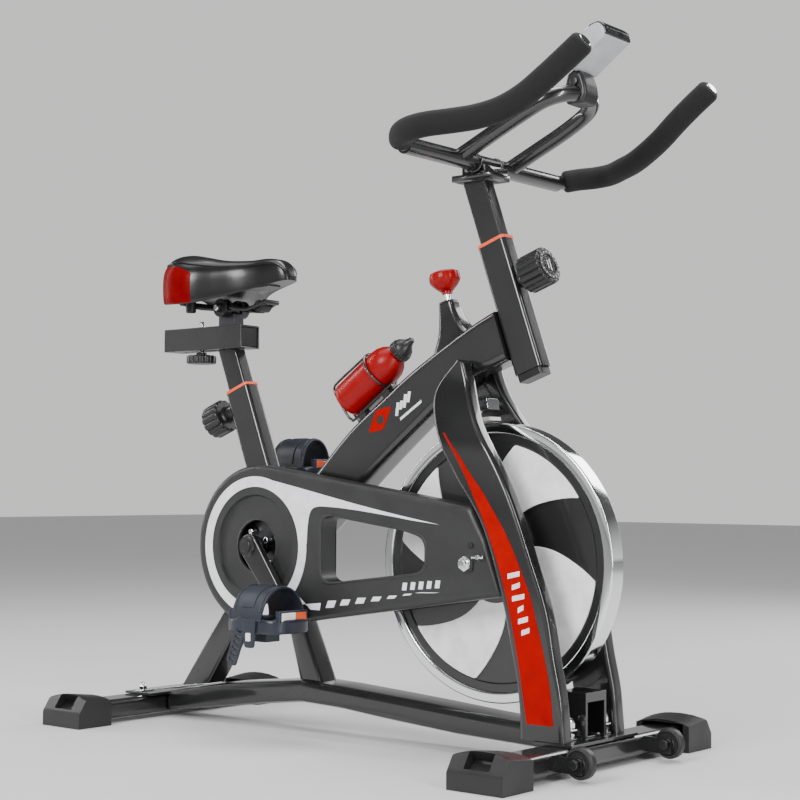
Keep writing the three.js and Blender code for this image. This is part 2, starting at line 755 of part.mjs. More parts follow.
function saddleRails() {
  const { x, z } = CLAMP_AXIS;
  const rail = (side) =>
    bar(
      [
        [-206, side * 40, 685],
        [-178, side * 30, 677],
        [x - 20, side * 21, z],
        [x + 20, side * 21, z],
        [-80, side * 20, 668],
        [-38, side * 12, 680],
      ],
      3.6,
      9,
      3,
    );
  const rearTie = crossBar(4, -204, 684.5, -44, 44, 10);
  const frontTie = crossBar(4, -40, 679.5, -16, 16, 10);
  add("saddle_rails", join(rail(-1), rail(1), rearTie, frontTie), CHROME);

  const cheeks = join(
    crossBar(15, x, z, -28, -11 - GAP, 24),
    crossBar(15, x, z, 11 + GAP, 28, 24),
    crossBar(4, x, z, -33, 33, 12),
    crossBar(7.5, x, z, -35, -28, 6),
    crossBar(7.5, x, z, 28, 35, 6),
  );
  const grooves = [-1, 1].map((side) => block(
    [x - 30, side * 21 - 4.2, z - 4.2],
    [x + 30, side * 21 + 4.2, z + 20],
  ));
  return { cheeks, grooves };
}

function saddle() {
  const { cheeks, grooves } = saddleRails();
  const bore = crossBar(4 + GAP, CLAMP_AXIS.x, CLAMP_AXIS.z, -12, 12, 12);
  const barMesh = bike.getObjectByName("slider_bar");
  barMesh.geometry = cut(barMesh.geometry, bore);
  add("saddle_clamp", cut(cheeks, ...grooves), BLACK_PLASTIC);

  const top = new THREE.Shape();
  top.moveTo(-224, 0);
  top.bezierCurveTo(-224, -72, -204, -94, -174, -92);
  top.bezierCurveTo(-128, -86, -100, -26, -18, -21);
  top.bezierCurveTo(16, -18, 16, 18, -18, 21);
  top.bezierCurveTo(-100, 26, -128, 86, -174, 92);
  top.bezierCurveTo(-204, 94, -224, 72, -224, 0);
  const side = outline([
    [-226, 692],
    [-150, 692],
    [-80, 700],
    [-20, 704],
    [6, 712],
    [8, 722],
    [-8, 742],
    [-40, 751],
    [-105, 750],
    [-140, 756],
    [-170, 765],
    [-200, 765],
    [-224, 742],
  ]);
  const cushion = common(upright(top, 680, 780, 7), sideSolid(side, -110, 110));
  add("saddle_cushion", cushion, VINYL);
}

// ---------------------------------------------------------------- handlebar and console
const LOOP_RADIUS = 11.5;
const GRIP_PATH = [
  [392, 200, 856],
  [408, 218, 861],
  [432, 230, 863],
  [460, 230, 865],
  [490, 215, 868],
  [520, 200, 872],
  [550, 186, 881],
  [580, 177, 896],
  [610, 171, 917],
  [640, 168, 938],
  [668, 167, 957],
];

// The steel that runs on from the cross bar inside a grip.
function gripCore(radius) {
  const inside = GRIP_PATH.slice(0, -1);
  return bar([[BAR.x, BAR.halfLength - 8, BAR.z], ...inside], radius, 14, 4);
}

function handlebar() {
  const loop = bar(
    [
      [390, -62, 857],
      [440, -62, 879],
      [490, -61, 901],
      [530, -54, 920],
      [552, -30, 930],
      [557, 0, 932],
      [552, 30, 930],
      [530, 54, 920],
      [490, 61, 901],
      [440, 62, 879],
      [390, 62, 857],
    ],
    LOOP_RADIUS,
    20,
    4,
  );
  const cross = crossBar(BAR.radius, BAR.x, BAR.z, -BAR.halfLength, BAR.halfLength, 20);
  const cores = SIDES.map(([, side]) => onSide(gripCore(BAR.radius - 1.5), side));
  add("handlebar_frame", join(cross, loop, ...cores), BLACK_PAINT);

  const sleeve = bar(GRIP_PATH, BAR.grip, 14, 5);
  const clearCross = crossBar(BAR.radius + GAP, BAR.x, BAR.z, 100, BAR.halfLength + GAP, 16);
  const grip = cut(sleeve, gripCore(BAR.radius - 0.9), clearCross);
  for (const [word, side] of SIDES) add("grip_" + word, onSide(grip, side), FOAM);
}

// The console's side view: a flat underside, a raised front edge and a sloped face to the rider.
const CONSOLE_SIDE = [
  [556, 960],
  [616, 1003],
  [613, 1015],
  [603, 1023],
  [592, 1021],
  [574, 1011],
  [541, 987],
];

function consoleUnit() {
  add("console", sideSolid(outline(CONSOLE_SIDE), -34, 34, 6), SILVER_PLASTIC);

  const stalk = outline([
    [556, 908],
    [573, 907],
    [577, 930],
    [587, 940],
    [586, 981],
    [556, 960],
    [540, 949],
    [538, 936],
  ]);
  const grab = crossBar(17, 557, 932, -19, 19, 20);
  const barHole = bar(
    [
      [540, -46, 925],
      [552, -30, 930],
      [557, 0, 932],
      [552, 30, 930],
      [540, 46, 925],
    ],
    LOOP_RADIUS + 5 * GAP,
    10,
    4,
  );
  const clearConsole = sideSolid(outline(CONSOLE_SIDE), -40, 40).translate(0, 0, -GAP);
  const clamp = join(sideSolid(stalk, -16, 16, 3), grab);
  add("console_clamp", cut(clamp, barHole, clearConsole), BLACK_PLASTIC);
}

// ---------------------------------------------------------------- brake
function brake() {
  // Along the rod's axis, zero is the housing's top; the holder is where the wheel's rim is close.
  const holderTop = -158;
  const holder = block([-34, -14, holderTop - 16], [46, 14, holderTop]);
  const stem = leaning(join(rod(4, holderTop - 1, 22), holder), BRAKE);
  const clearance = WHEEL.radius + BRAKE.padGap + 5 + GAP;
  const overPad = crossBar(clearance, WHEEL.x, WHEEL.z, -30, 30, 96);
  add("brake_rod", cut(stem, overPad), DARK_STEEL);

  const padBlock = leaning(block([-34, -13, holderTop - 60], [46, 13, holderTop - 2]), BRAKE);
  const under = crossBar(WHEEL.radius + BRAKE.padGap, WHEEL.x, WHEEL.z, -30, 30, 96);
  const over = crossBar(clearance - GAP, WHEEL.x, WHEEL.z, -30, 30, 96);
  add("brake_pad", cut(common(padBlock, over), under), FELT);

  const knobProfile = [
    [0, 14],
    [9, 14],
    [22, 26],
    [23.5, 38],
    [17, 46],
    [0, 47],
  ];
  const knob = new THREE.LatheGeometry(
    knobProfile.map(([radius, height]) => new THREE.Vector2(radius, height)),
    10,
  ).rotateX(Math.PI / 2);
  const bore = rod(4 + 2 * GAP, 0, 23);
  add("brake_knob", leaning(cut(knob, bore), BRAKE), RED);

  const tower = new THREE.ConeGeometry(44, 74, 4, 1).rotateY(Math.PI / 4).rotateX(Math.PI / 2);
  tower.scale(1, 0.8, 1);
  tower.translate(0, 0, -22);
  const trimTop = block([-60, -60, 0], [60, 60, 60]);
  const rodHole = rod(5.5, -80, 20);
  const onTube = cut(leaning(cut(tower, trimTop, rodHole), BRAKE), frameClearance());
  add("brake_housing", onTube, BLACK_PAINT);
}

// The frame tube's side view, slightly larger, to seat things on its top.
function frameClearance() {
  const raised = FRAME_TOP.map(([x, z]) => [x, z + 0.6]);
  return sideSolid(outline([...raised, ...FRAME_UNDER].reverse()), -60, 60);
}

// ---------------------------------------------------------------- bottle
function bottle() {
  const turnedUp = (profile, sides = 24) => {
    const points = profile.map(([radius, height]) => new THREE.Vector2(radius, height));
    return new THREE.LatheGeometry(points, sides).rotateX(Math.PI / 2);
  };
  const { radius, body } = BOTTLE;
  const lean = (geometry) =>
    geometry.rotateY(radians(90 - BOTTLE.tilt)).translate(BOTTLE.x, 0, BOTTLE.z);
  add(
    "bottle",
    lean(
      turnedUp([
        [0, 0],
        [radius - 4, 0],
        [radius, 4],
        [radius, body - 14],
        [radius - 4, body],
        [15, body + 14],
        [11, body + 16],
        [11, body + 24],
        [0, body + 24],
      ]),
    ),
    RED,
  );
  const cap = cut(
    turnedUp([
      [0, body + 17],
      [17, body + 17],
      [18, body + 26],
      [14, body + 33],
      [7, body + 36],
      [5.5, body + 50],
      [0, body + 50],
    ]),
    turnedUp([
      [0, body + 10],
      [11.5, body + 10],
      [11.5, body + 24.5],
      [0, body + 24.5],
    ]),
  );
  add("bottle_cap", lean(cap), BLACK_PLASTIC);

  const hoop = (height, half) =>
    cut(
      rod(radius + 4.5, height - half, height + half, 28),
      rod(radius + 1, height - 9, height + 9, 28),
    );
  const strip = block([radius + 1.5, -9, -6], [radius + 8, 9, 100]);
  const sideBars = [-1, 1].map((side) =>
    block([-2.5, side * (radius + 2.8) - 2.2, -6], [2.5, side * (radius + 2.8) + 2.2, 84]),
  );
  const floor = block([-3, -radius - 4, -6], [radius + 5, radius + 4, -2]);
  const feet = [10, 66].map((height) => block([radius + 6, -8, height], [radius + 30, 8, height + 16]));
  const cage = join(hoop(80, 3), hoop(22, 3), strip, ...sideBars, floor, ...feet);
  add("bottle_cage", cut(lean(cage), frameClearance()), BLACK_PAINT);
}

// ---------------------------------------------------------------- transport wheels
function transportWheels() {
  const half = CAST.width / 2 - 0.8;
  const { radius } = CAST;
  const tread = [
    [4.6, -half],
    [radius - 4, -half],
    [radius, -half + 4],
    [radius, half - 4],
    [radius - 4, half],
    [4.6, half],
    [4.6, -half],
  ];
  for (const [word, side] of SIDES) {
    const wheel = turned(tread, CAST.x, CAST.z, 28).translate(0, side * CAST.y, 0);
    add("transport_wheel_" + word, wheel, RUBBER);
    const middle = side * CAST.y;
    const head = (low, high) => crossBar(7, CAST.x, CAST.z, middle + low, middle + high, 6);
    const bolt = join(
      crossBar(4, CAST.x, CAST.z, middle - 19, middle + 19, 12),
      head(-20.5, -14.8),
      head(14.8, 20.5),
    );
    add("transport_axle_" + word, bolt, CHROME);
  }
}

base();
baseTube();
baseBolts();
rearFrame();
mainFrame();
fork();
flywheel();
drive();
cranks();
chainGuard();
posts();
saddleSlide();
saddle();
handlebar();
consoleUnit();
brake();
bottle();
transportWheels();

bike.position.x = ORIGIN_SHIFT;
export default bike;
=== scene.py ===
"""An indoor spin bike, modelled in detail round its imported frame.

Lengths are in millimetres from the crank's axis, with +X forwards, +Y to the rider's left and +Z up from
the floor. mesh_piece() turns them into metres in the frame's own axes.
"""

import math

import bmesh
import bpy
from mathutils import Matrix, Vector


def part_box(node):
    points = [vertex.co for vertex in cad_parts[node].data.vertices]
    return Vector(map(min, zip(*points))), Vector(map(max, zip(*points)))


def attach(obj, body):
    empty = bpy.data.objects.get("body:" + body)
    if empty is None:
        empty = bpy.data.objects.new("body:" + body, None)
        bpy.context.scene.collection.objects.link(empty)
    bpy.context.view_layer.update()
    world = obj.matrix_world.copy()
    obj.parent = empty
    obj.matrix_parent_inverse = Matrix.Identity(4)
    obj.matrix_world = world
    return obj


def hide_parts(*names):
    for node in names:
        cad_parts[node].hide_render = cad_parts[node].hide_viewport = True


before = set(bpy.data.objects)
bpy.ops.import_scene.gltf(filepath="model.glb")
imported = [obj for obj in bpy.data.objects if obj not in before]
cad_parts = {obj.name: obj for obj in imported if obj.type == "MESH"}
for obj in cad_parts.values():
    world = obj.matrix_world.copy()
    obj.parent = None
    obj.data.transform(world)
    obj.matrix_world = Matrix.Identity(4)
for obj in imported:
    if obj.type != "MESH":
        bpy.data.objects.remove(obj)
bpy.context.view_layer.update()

# ---------------------------------------------------------------- driving dimensions
MM = 0.001
CHAINRING_LOW, CHAINRING_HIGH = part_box("chainring")
CRANK_SHIFT = (CHAINRING_LOW.x + CHAINRING_HIGH.x) / 2
CRANK_Z = (CHAINRING_LOW.z + CHAINRING_HIGH.z) / 2 / MM


def centre_of(node):
    """A CAD node's middle, in millimetres from the crank's axis."""
    low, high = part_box(node)
    middle = (low + high) / 2
    return Vector(((middle.x - CRANK_SHIFT) / MM, middle.y / MM, middle.z / MM))


WHEEL = centre_of("flywheel")
# A pedal's weight hangs below it, so its spindle lies above the middle of its box.
PEDAL_SPINDLE_RISE = Vector((0, 0, 8.5))
PEDALS = {word: centre_of(f"pedal_{word}") + PEDAL_SPINDLE_RISE for word in ("right", "left")}
CASTS = {"right": centre_of("transport_wheel_right"), "left": centre_of("transport_wheel_left")}
SIDES = {"right": -1, "left": 1}

SEAT_AXIS = {"x": -6, "z": 288.5, "tilt": 21.1}
HEAD_AXIS = {"x": 411.5, "z": 726, "tilt": 19.35}
BRAKE_AXIS = {"x": 323, "z": 655, "tilt": 12.5}
BOTTLE_AXIS = {"x": 126, "z": 513, "tilt": -54.5}

BACKDROP_COLOUR = (0.80, 0.80, 0.79)


# ---------------------------------------------------------------- points and outlines
def through(points, steps=6, closed=False):
    """A smooth Catmull-Rom line through points of any dimension, with that many steps a span."""
    count = len(points)
    spans = count if closed else count - 1
    line = []
    for i in range(spans):
        if closed:
            p0, p1, p2, p3 = (points[(i + k - 1) % count] for k in range(4))
        else:
            p1, p2 = points[i], points[i + 1]
            p0 = points[i - 1] if i else p1
            p3 = points[i + 2] if i + 2 < count else p2
        for step in range(steps):
            t = step / steps
            line.append(
                tuple(
                    0.5 * (2 * b + (c - a) * t + (2 * a - 5 * b + 4 * c - d) * t * t
                           + (3 * b - a - 3 * c + d) * t ** 3)
                    for a, b, c, d in zip(p0, p1, p2, p3)
                )
            )
    if not closed:
        line.append(tuple(points[-1]))
    return line


def resample(line, count):
    """A line's points at equal distances along it."""
    lengths = [0.0]
    for a, b in zip(line, line[1:]):
        lengths.append(lengths[-1] + math.dist(a, b))
    result, span = [], 0
    for i in range(count):
        target = lengths[-1] * i / (count - 1)
        while span < len(lengths) - 2 and lengths[span + 1] < target:
            span += 1
        run = lengths[span + 1] - lengths[span]
        t = (target - lengths[span]) / run if run else 0
        result.append(tuple(p + (q - p) * t for p, q in zip(line[span], line[span + 1])))
    return result


def arc(x, z, radius, start, end, steps=24):
    """Points on a circle from one angle to another, in degrees."""
    angles = (math.radians(start + (end - start) * i / steps) for i in range(steps + 1))
    return [(x + radius * math.cos(a), z + radius * math.sin(a)) for a in angles]


def circle(x, z, radius, steps=48):
    return arc(x, z, radius, 0, 360, steps)[:-1]


def rounded(points, radius, steps=5):
    """A closed outline with each corner rounded by an arc-like curve."""
    result = []
    count = len(points)
    for i, (x, z) in enumerate(points):
        corner = Vector((x, z))
        before = Vector(points[i - 1]) - corner
        after = Vector(points[(i + 1) % count]) - corner
        reach = min(radius, before.length * 0.45, after.length * 0.45)
        start = corner + before.normalized() * reach
        end = corner + after.normalized() * reach
        for step in range(steps + 1):
            t = step / steps
            point = start * (1 - t) ** 2 + corner * 2 * t * (1 - t) + end * t * t
            result.append((point.x, point.y))
    return result


def rectangle(width, height, radius, steps=5):
    """A rounded rectangle about the origin."""
    w, h = width / 2, height / 2
    return rounded([(-w, -h), (w, -h), (w, h), (-w, h)], radius, steps)


def between(table, x):
    """A smooth curve's height at x, from a list of (x, height) in order."""
    line = through(table, 8)
    for (x0, z0), (x1, z1) in zip(line, line[1:]):
        if x0 <= x <= x1 and x1 > x0:
            return z0 + (z1 - z0) * (x - x0) / (x1 - x0)
    return line[0][1] if x < line[0][0] else line[-1][1]


# ---------------------------------------------------------------- solids, as (points, faces)
def loft(rings, closed=False, caps=True):
    """A skin over rings of points that all have the same count."""
    size = len(rings[0])
    points = [tuple(p) for ring in rings for p in ring]
    faces = []
    spans = len(rings) if closed else len(rings) - 1
    for i in range(spans):
        a, b = i * size, ((i + 1) % len(rings)) * size
        for j in range(size):
            k = (j + 1) % size
            faces.append((a + j, a + k, b + k, b + j))
    if caps and not closed:
        faces.append(tuple(range(size))[::-1])
        last = (len(rings) - 1) * size
        faces.append(tuple(range(last, last + size)))
    return points, faces


def revolve(profile, sides=48, closed=False):
    """A solid turned about +Z from (radius, height) points."""
    rings = []
    for radius, height in profile:
        angles = (2 * math.pi * i / sides for i in range(sides))
        rings.append([(radius * math.cos(a), radius * math.sin(a), height) for a in angles])
    return loft(rings, closed)


def tube(path, radius, sides=20, taper=None):
    """A round tube along a path of close points; taper gives the radius's share at each point."""
    line = [Vector(p) for p in path]
    tangent = (line[1] - line[0]).normalized()
    side = tangent.orthogonal().normalized()
    rings = []
    for i, point in enumerate(line):
        ahead = line[min(i + 1, len(line) - 1)] - line[max(i - 1, 0)]
        turn = tangent.rotation_difference(ahead.normalized())
        side = (turn @ side).normalized()
        tangent = ahead.normalized()
        across = tangent.cross(side)
        size = radius * (taper[i] if taper else 1)
        angles = [2 * math.pi * k / sides for k in range(sides)]
        rings.append([point + (side * math.cos(a) + across * math.sin(a)) * size for a in angles])
    return loft(rings)


def plate(loops, low, high, edge=0.0, steps=2):
    """An outline in X and Z, with holes, made solid between two values of Y with rounded edges."""
    curve = bpy.data.curves.new("outline", "CURVE")
    curve.dimensions = "2D"
    curve.fill_mode = "BOTH"
    curve.extrude = (high - low) / 2 - edge
    curve.bevel_depth = edge
    curve.bevel_resolution = steps
    curve.offset = -edge
    for loop in loops:
        spline = curve.splines.new("POLY")
        spline.points.add(len(loop) - 1)
        spline.use_cyclic_u = True
        for point, (x, z) in zip(spline.points, loop):
            point.co = (x, z, 0, 1)
    holder = bpy.data.objects.new("outline", curve)
    mesh = bpy.data.meshes.new_from_object(holder)
    middle = (low + high) / 2
    points = [(v.co.x, middle - v.co.z, v.co.y) for v in mesh.vertices]
    faces = [tuple(f.vertices) for f in mesh.polygons]
    bpy.data.objects.remove(holder)
    bpy.data.curves.remove(curve)
    bpy.data.meshes.remove(mesh)
    return points, faces


def box(low, high):
    """A plain box, whose edges mesh_piece() rounds."""
    (x0, y0, z0), (x1, y1, z1) = low, high
    corners = [(x0, y0), (x1, y0), (x1, y1), (x0, y1)]
    return loft([[(x, y, z0) for x, y in corners], [(x, y, z1) for x, y in corners]])


def prism(section, low, high, edge=0.0):
    """A section in X and Y made solid in Z, with its two ends rounded over."""
    def ring(scale_by, z):
        inset = []
        for x, y in section:
            length = math.hypot(x, y) or 1
            shrink = max(0.0, 1 - scale_by / length)
            inset.append((x * shrink, y * shrink, z))
        return inset

    if not edge:
        return loft([ring(0, low), ring(0, high)])
    turns = [(1 - math.sin(math.radians(a)), 1 - math.cos(math.radians(a))) for a in (0, 30, 60, 90)]
    below = [ring(edge * inward, low + edge * up) for inward, up in turns]
    above = [ring(edge * inward, high - edge * up) for inward, up in reversed(turns)]
    return loft(below + above)


def moved(part, x=0.0, y=0.0, z=0.0):
    points, faces = part
    return [(px + x, py + y, pz + z) for px, py, pz in points], faces


def turned(part, matrix):
    points, faces = part
    return [tuple(matrix @ Vector(p)) for p in points], faces


def along_y(part, x, z, y=0.0):
    """A part drawn along +Z, laid along +Y about a point."""
    return moved(turned(part, Matrix.Rotation(-math.pi / 2, 3, "X")), x, y, z)


def leaning(part, axis):
    """A part drawn along +Z, put on an axis that leans in the X-Z plane."""
    lean = Matrix.Rotation(-math.radians(axis["tilt"]), 3, "Y")
    return moved(turned(part, lean), axis["x"], 0, axis["z"])


def mirrored(part):
    points, faces = part
    return [(x, -y, z) for x, y, z in points], [tuple(reversed(f)) for f in faces]


def on_side(part, side):
    """A part drawn for the rider's left, put on either side."""
    return part if side > 0 else mirrored(part)


def hexagon(across, low, high, edge=1.0):
    section = [(across / 2 * math.cos(math.radians(a)), across / 2 * math.sin(math.radians(a)))
               for a in range(0, 360, 60)]
    return prism(section, low, high, edge)


def dome_nut(across, low):
    """A hexagon nut with a domed top."""
    radius = across * 0.4
    dome = [(radius * math.cos(math.radians(a)), low + across * 0.5 + radius * math.sin(math.radians(a)))
            for a in range(0, 90, 15)]
    return join(hexagon(across, low, low + across * 0.5),
                revolve([(radius, low + across * 0.4)] + dome, 24))


def join(*parts):
    points, faces = [], []
    for part_points, part_faces in parts:
        start = len(points)
        points += part_points
        faces += [tuple(i + start for i in face) for face in part_faces]
    return points, faces


def carved(part, tool):
    """A solid with another solid taken out of it."""
    holders = []
    for points, faces in (part, tool):
        mesh = bpy.data.meshes.new("carve")
        mesh.from_pydata([tuple(p) for p in points], [], faces)
        tidy_normals(mesh)
        holder = bpy.data.objects.new("carve", mesh)
        bpy.context.scene.collection.objects.link(holder)
        holders.append(holder)
    body, cutter = holders
    boolean = body.modifiers.new("carve", "BOOLEAN")
    boolean.operation = "DIFFERENCE"
    boolean.solver = "EXACT"
    boolean.object = cutter
    made = bpy.data.meshes.new_from_object(body.evaluated_get(bpy.context.evaluated_depsgraph_get()))
    result = [tuple(v.co) for v in made.vertices], [tuple(f.vertices) for f in made.polygons]
    for holder in holders:
        mesh = holder.data
        bpy.data.objects.remove(holder)
        bpy.data.meshes.remove(mesh)
    bpy.data.meshes.remove(made)
    return result


# ---------------------------------------------------------------- materials
def material(name, colour, metallic=0.0, roughness=0.4, coat=0.0, coat_roughness=0.08, specular=0.5):
    """A new Principled material, its nodes and its shader."""
    made = bpy.data.materials.new(name)
    made.use_nodes = True
    nodes, links = made.node_tree.nodes, made.node_tree.links
    shader = nodes["Principled BSDF"]
    shader.inputs["Base Color"].default_value = (*colour, 1)
    shader.inputs["Metallic"].default_value = metallic
    shader.inputs["Roughness"].default_value = roughness
    shader.inputs["Coat Weight"].default_value = coat
    shader.inputs["Coat Roughness"].default_value = coat_roughness
    shader.inputs["Specular IOR Level"].default_value = specular
    return made, nodes, links, shader


def object_space(nodes, links, scale):
    """The object's own coordinates, in metres times a scale."""
    place = nodes.new("ShaderNodeTexCoord")
    mapping = nodes.new("ShaderNodeMapping")
    mapping.inputs["Scale"].default_value = (scale, scale, scale)
    links.new(place.outputs["Object"], mapping.inputs["Vector"])
    return mapping.outputs["Vector"]


def noise(nodes, links, scale, detail=3.0, roughness=0.5):
    texture = nodes.new("ShaderNodeTexNoise")
    texture.inputs["Scale"].default_value = 1
    texture.inputs["Detail"].default_value = detail
    texture.inputs["Roughness"].default_value = roughness
    links.new(object_space(nodes, links, scale), texture.inputs["Vector"])
    return texture.outputs["Fac"]


def cells(nodes, links, scale, feature="F1", randomness=1.0):
    texture = nodes.new("ShaderNodeTexVoronoi")
    texture.feature = feature
    texture.inputs["Scale"].default_value = 1
    texture.inputs["Randomness"].default_value = randomness
    links.new(object_space(nodes, links, scale), texture.inputs["Vector"])
    return texture.outputs["Distance"]


def vary(nodes, links, value, socket, low, high):
    """A shader input that ranges from low to high with a texture."""
    spread = nodes.new("ShaderNodeMapRange")
    spread.inputs["From Min"].default_value = 0.3
    spread.inputs["From Max"].default_value = 0.7
    spread.inputs["To Min"].default_value = low
    spread.inputs["To Max"].default_value = high
    links.new(value, spread.inputs["Value"])
    links.new(spread.outputs["Result"], socket)


def tint(nodes, links, value, shader, dark, light):
    """A base colour that ranges between two with a texture."""
    mix = nodes.new("ShaderNodeValToRGB")
    mix.color_ramp.elements[0].position = 0.3
    mix.color_ramp.elements[0].color = (*dark, 1)
    mix.color_ramp.elements[1].position = 0.7
    mix.color_ramp.elements[1].color = (*light, 1)
    links.new(value, mix.inputs["Fac"])
    links.new(mix.outputs["Color"], shader.inputs["Base Color"])


def relief(nodes, links, value, shader, height_mm, strength=1.0, inputs=("Normal",)):
    bump = nodes.new("ShaderNodeBump")
    bump.inputs["Distance"].default_value = height_mm * MM
    bump.inputs["Strength"].default_value = strength
    links.new(value, bump.inputs["Height"])
    for name in inputs:
        links.new(bump.outputs["Normal"], shader.inputs[name])


def worn(colour, amount):
    """A colour and its slightly darker and lighter neighbours."""
    return [tuple(max(0.0, c * (1 + share * amount)) for c in colour) for share in (-1, 1)]


def gloss_paint(name, colour, metallic=0.35, roughness=0.3):
    """Sprayed gloss paint: faint flake, orange peel and a clear coat."""
    made, nodes, links, shader = material(name, colour, metallic, roughness, coat=0.8, coat_roughness=0.05)
    flake = noise(nodes, links, 2600, 2)
    tint(nodes, links, flake, shader, *worn(colour, 0.25))
    vary(nodes, links, noise(nodes, links, 9, 4), shader.inputs["Roughness"], roughness - 0.05,
         roughness + 0.08)
    relief(nodes, links, noise(nodes, links, 320, 2), shader, 0.02, 0.35, ("Normal", "Coat Normal"))
    return made


def moulded(name, colour, roughness=0.45, grain=0.03, scale=900, specular=0.5):
    """Moulded plastic with a fine spark-eroded grain."""
    made, nodes, links, shader = material(name, colour, 0, roughness, specular=specular)
    tint(nodes, links, noise(nodes, links, 40, 5), shader, *worn(colour, 0.12))
    vary(nodes, links, noise(nodes, links, 22, 5), shader.inputs["Roughness"], roughness - 0.06,
         roughness + 0.08)
    relief(nodes, links, noise(nodes, links, scale, 4, 0.7), shader, grain, 0.6)
    return made


def metal(name, colour, roughness=0.12, brushed=0.0):
    """Plated or bare metal, with faint wipe marks or a brushed grain."""
    made, nodes, links, shader = material(name, colour, 1, roughness)
    vary(nodes, links, noise(nodes, links, 14, 6), shader.inputs["Roughness"], roughness * 0.7,
         roughness * 1.6)
    relief(nodes, links, noise(nodes, links, 700 if brushed else 120, 2), shader, 0.004 + brushed, 0.15)
    return made


def foam(name, colour):
    """Closed-cell foam: a dense small pore and a soft sheen."""
    made, nodes, links, shader = material(name, colour, 0, 0.82, specular=0.3)
    shader.inputs["Sheen Weight"].default_value = 0.04
    shader.inputs["Sheen Roughness"].default_value = 0.5
    tint(nodes, links, noise(nodes, links, 500, 4), shader, *worn(colour, 0.3))
    relief(nodes, links, cells(nodes, links, 1300), shader, 0.12, 0.6)
    return made


def vinyl(name, colour, roughness=0.3, coat=0.35):
    """Smooth leathercloth: shallow pebbled cells and a satin coat."""
    made, nodes, links, shader = material(name, colour, 0, roughness, coat=coat, coat_roughness=0.22,
                                          specular=coat)
    tint(nodes, links, noise(nodes, links, 60, 4), shader, *worn(colour, 0.15))
    relief(nodes, links, cells(nodes, links, 900, "SMOOTH_F1"), shader, 0.07, 0.5)
    return made


def felt(name, colour):
    made, nodes, links, shader = material(name, colour, 0, 0.95, specular=0.15)
    shader.inputs["Sheen Weight"].default_value = 0.5
    tint(nodes, links, noise(nodes, links, 900, 6, 0.8), shader, *worn(colour, 0.12))
    relief(nodes, links, noise(nodes, links, 1500, 6, 0.8), shader, 0.3, 0.8)
    return made


PAINT = gloss_paint("black_gloss_paint", (0.008, 0.0081, 0.0085), 0.1, 0.28)
GUARD_GREY = moulded("guard_plastic", (0.020, 0.0203, 0.021), 0.4, 0.025)
GUARD_DARK = moulded("guard_inner_plastic", (0.009, 0.009, 0.01), 0.5)
BLACK_PLASTIC = moulded("black_plastic", (0.010, 0.010, 0.011), 0.34)
FOOT_PLASTIC = moulded("foot_plastic", (0.013, 0.013, 0.0135), 0.42, 0.04, 700)
PEDAL_PLASTIC = moulded("pedal_plastic", (0.012, 0.016, 0.027), 0.3, 0.02)
STRAP_RUBBER = moulded("strap_rubber", (0.014, 0.018, 0.029), 0.42, 0.04, 1200)
TYRE = moulded("wheel_rubber", (0.008, 0.008, 0.008), 0.5, 0.04)
CHROME = metal("chrome", (0.86, 0.87, 0.88), 0.07)
# The blades are light silver; their near-white, non-metallic colour also paints in the bright reflection of
# their polished faces.
BLADE_SILVER_PAINTED_REFLECTION = moulded("blade_silver_painted_reflection", (0.97, 0.97, 0.97), 0.35, 0.003)
DARK_STEEL = metal("dark_steel", (0.09, 0.09, 0.095), 0.3, 0.01)
DISC_BLACK = gloss_paint("wheel_disc_black", (0.006, 0.006, 0.0065), 0.0, 0.4)
FOAM = foam("grip_foam", (0.0075, 0.0075, 0.008))
VINYL = vinyl("saddle_vinyl", (0.006, 0.006, 0.0065), 0.28)
RED_VINYL = vinyl("saddle_red_vinyl", (0.17, 0.0, 0.001), 0.45, 0.04)
RED_PLASTIC = moulded("red_plastic", (0.27, 0.0, 0.001), 0.3, 0.002, specular=0.25)
RED_DECAL = moulded("red_decal", (0.36, 0.0, 0.001), 0.6, 0.002, specular=0.03)
WHITE_DECAL = moulded("white_decal", (0.84, 0.84, 0.88), 0.4, 0.004)
ORANGE = moulded("orange_plastic", (0.85, 0.11, 0.03), 0.4)
REFLECTOR_WHITE = moulded("reflector_white", (0.85, 0.80, 0.78), 0.2, 0.01)
REFLECTOR_ORANGE = moulded("reflector_orange", (0.75, 0.09, 0.01), 0.2, 0.01)
CONSOLE_SILVER = moulded("console_silver", (0.42, 0.43, 0.44), 0.35, 0.012)
CONSOLE_WHITE = moulded("console_white", (0.86, 0.86, 0.87), 0.22, 0.01)
SCREEN = moulded("console_screen", (0.012, 0.013, 0.015), 0.12, 0.0)
FELT = felt("brake_felt", (0.78, 0.77, 0.73))


# ---------------------------------------------------------------- pieces
def mesh_piece(name, body, look, slot, *parts, replaces=(), crease=35, edge=0.0):
    """A piece on a CAD body, from solids in millimetres; edge rounds its sharp edges."""
    points, faces = join(*parts)
    mesh = bpy.data.meshes.new(name)
    mesh.from_pydata([(CRANK_SHIFT + x * MM, y * MM, z * MM) for x, y, z in points], [], faces)
    mesh.validate()
    tidy_normals(mesh)
    piece = bpy.data.objects.new(name, mesh)
    bpy.context.scene.collection.objects.link(piece)
    finish_surface(piece, look, crease, edge)
    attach(piece, body)
    if replaces:
        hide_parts(*replaces)
    return piece


def tidy_normals(mesh):
    """Turns every shell's faces outwards."""
    work = bmesh.new()
    work.from_mesh(mesh)
    bmesh.ops.remove_doubles(work, verts=work.verts, dist=1e-6)
    bmesh.ops.recalc_face_normals(work, faces=work.faces)
    work.to_mesh(mesh)
    work.free()


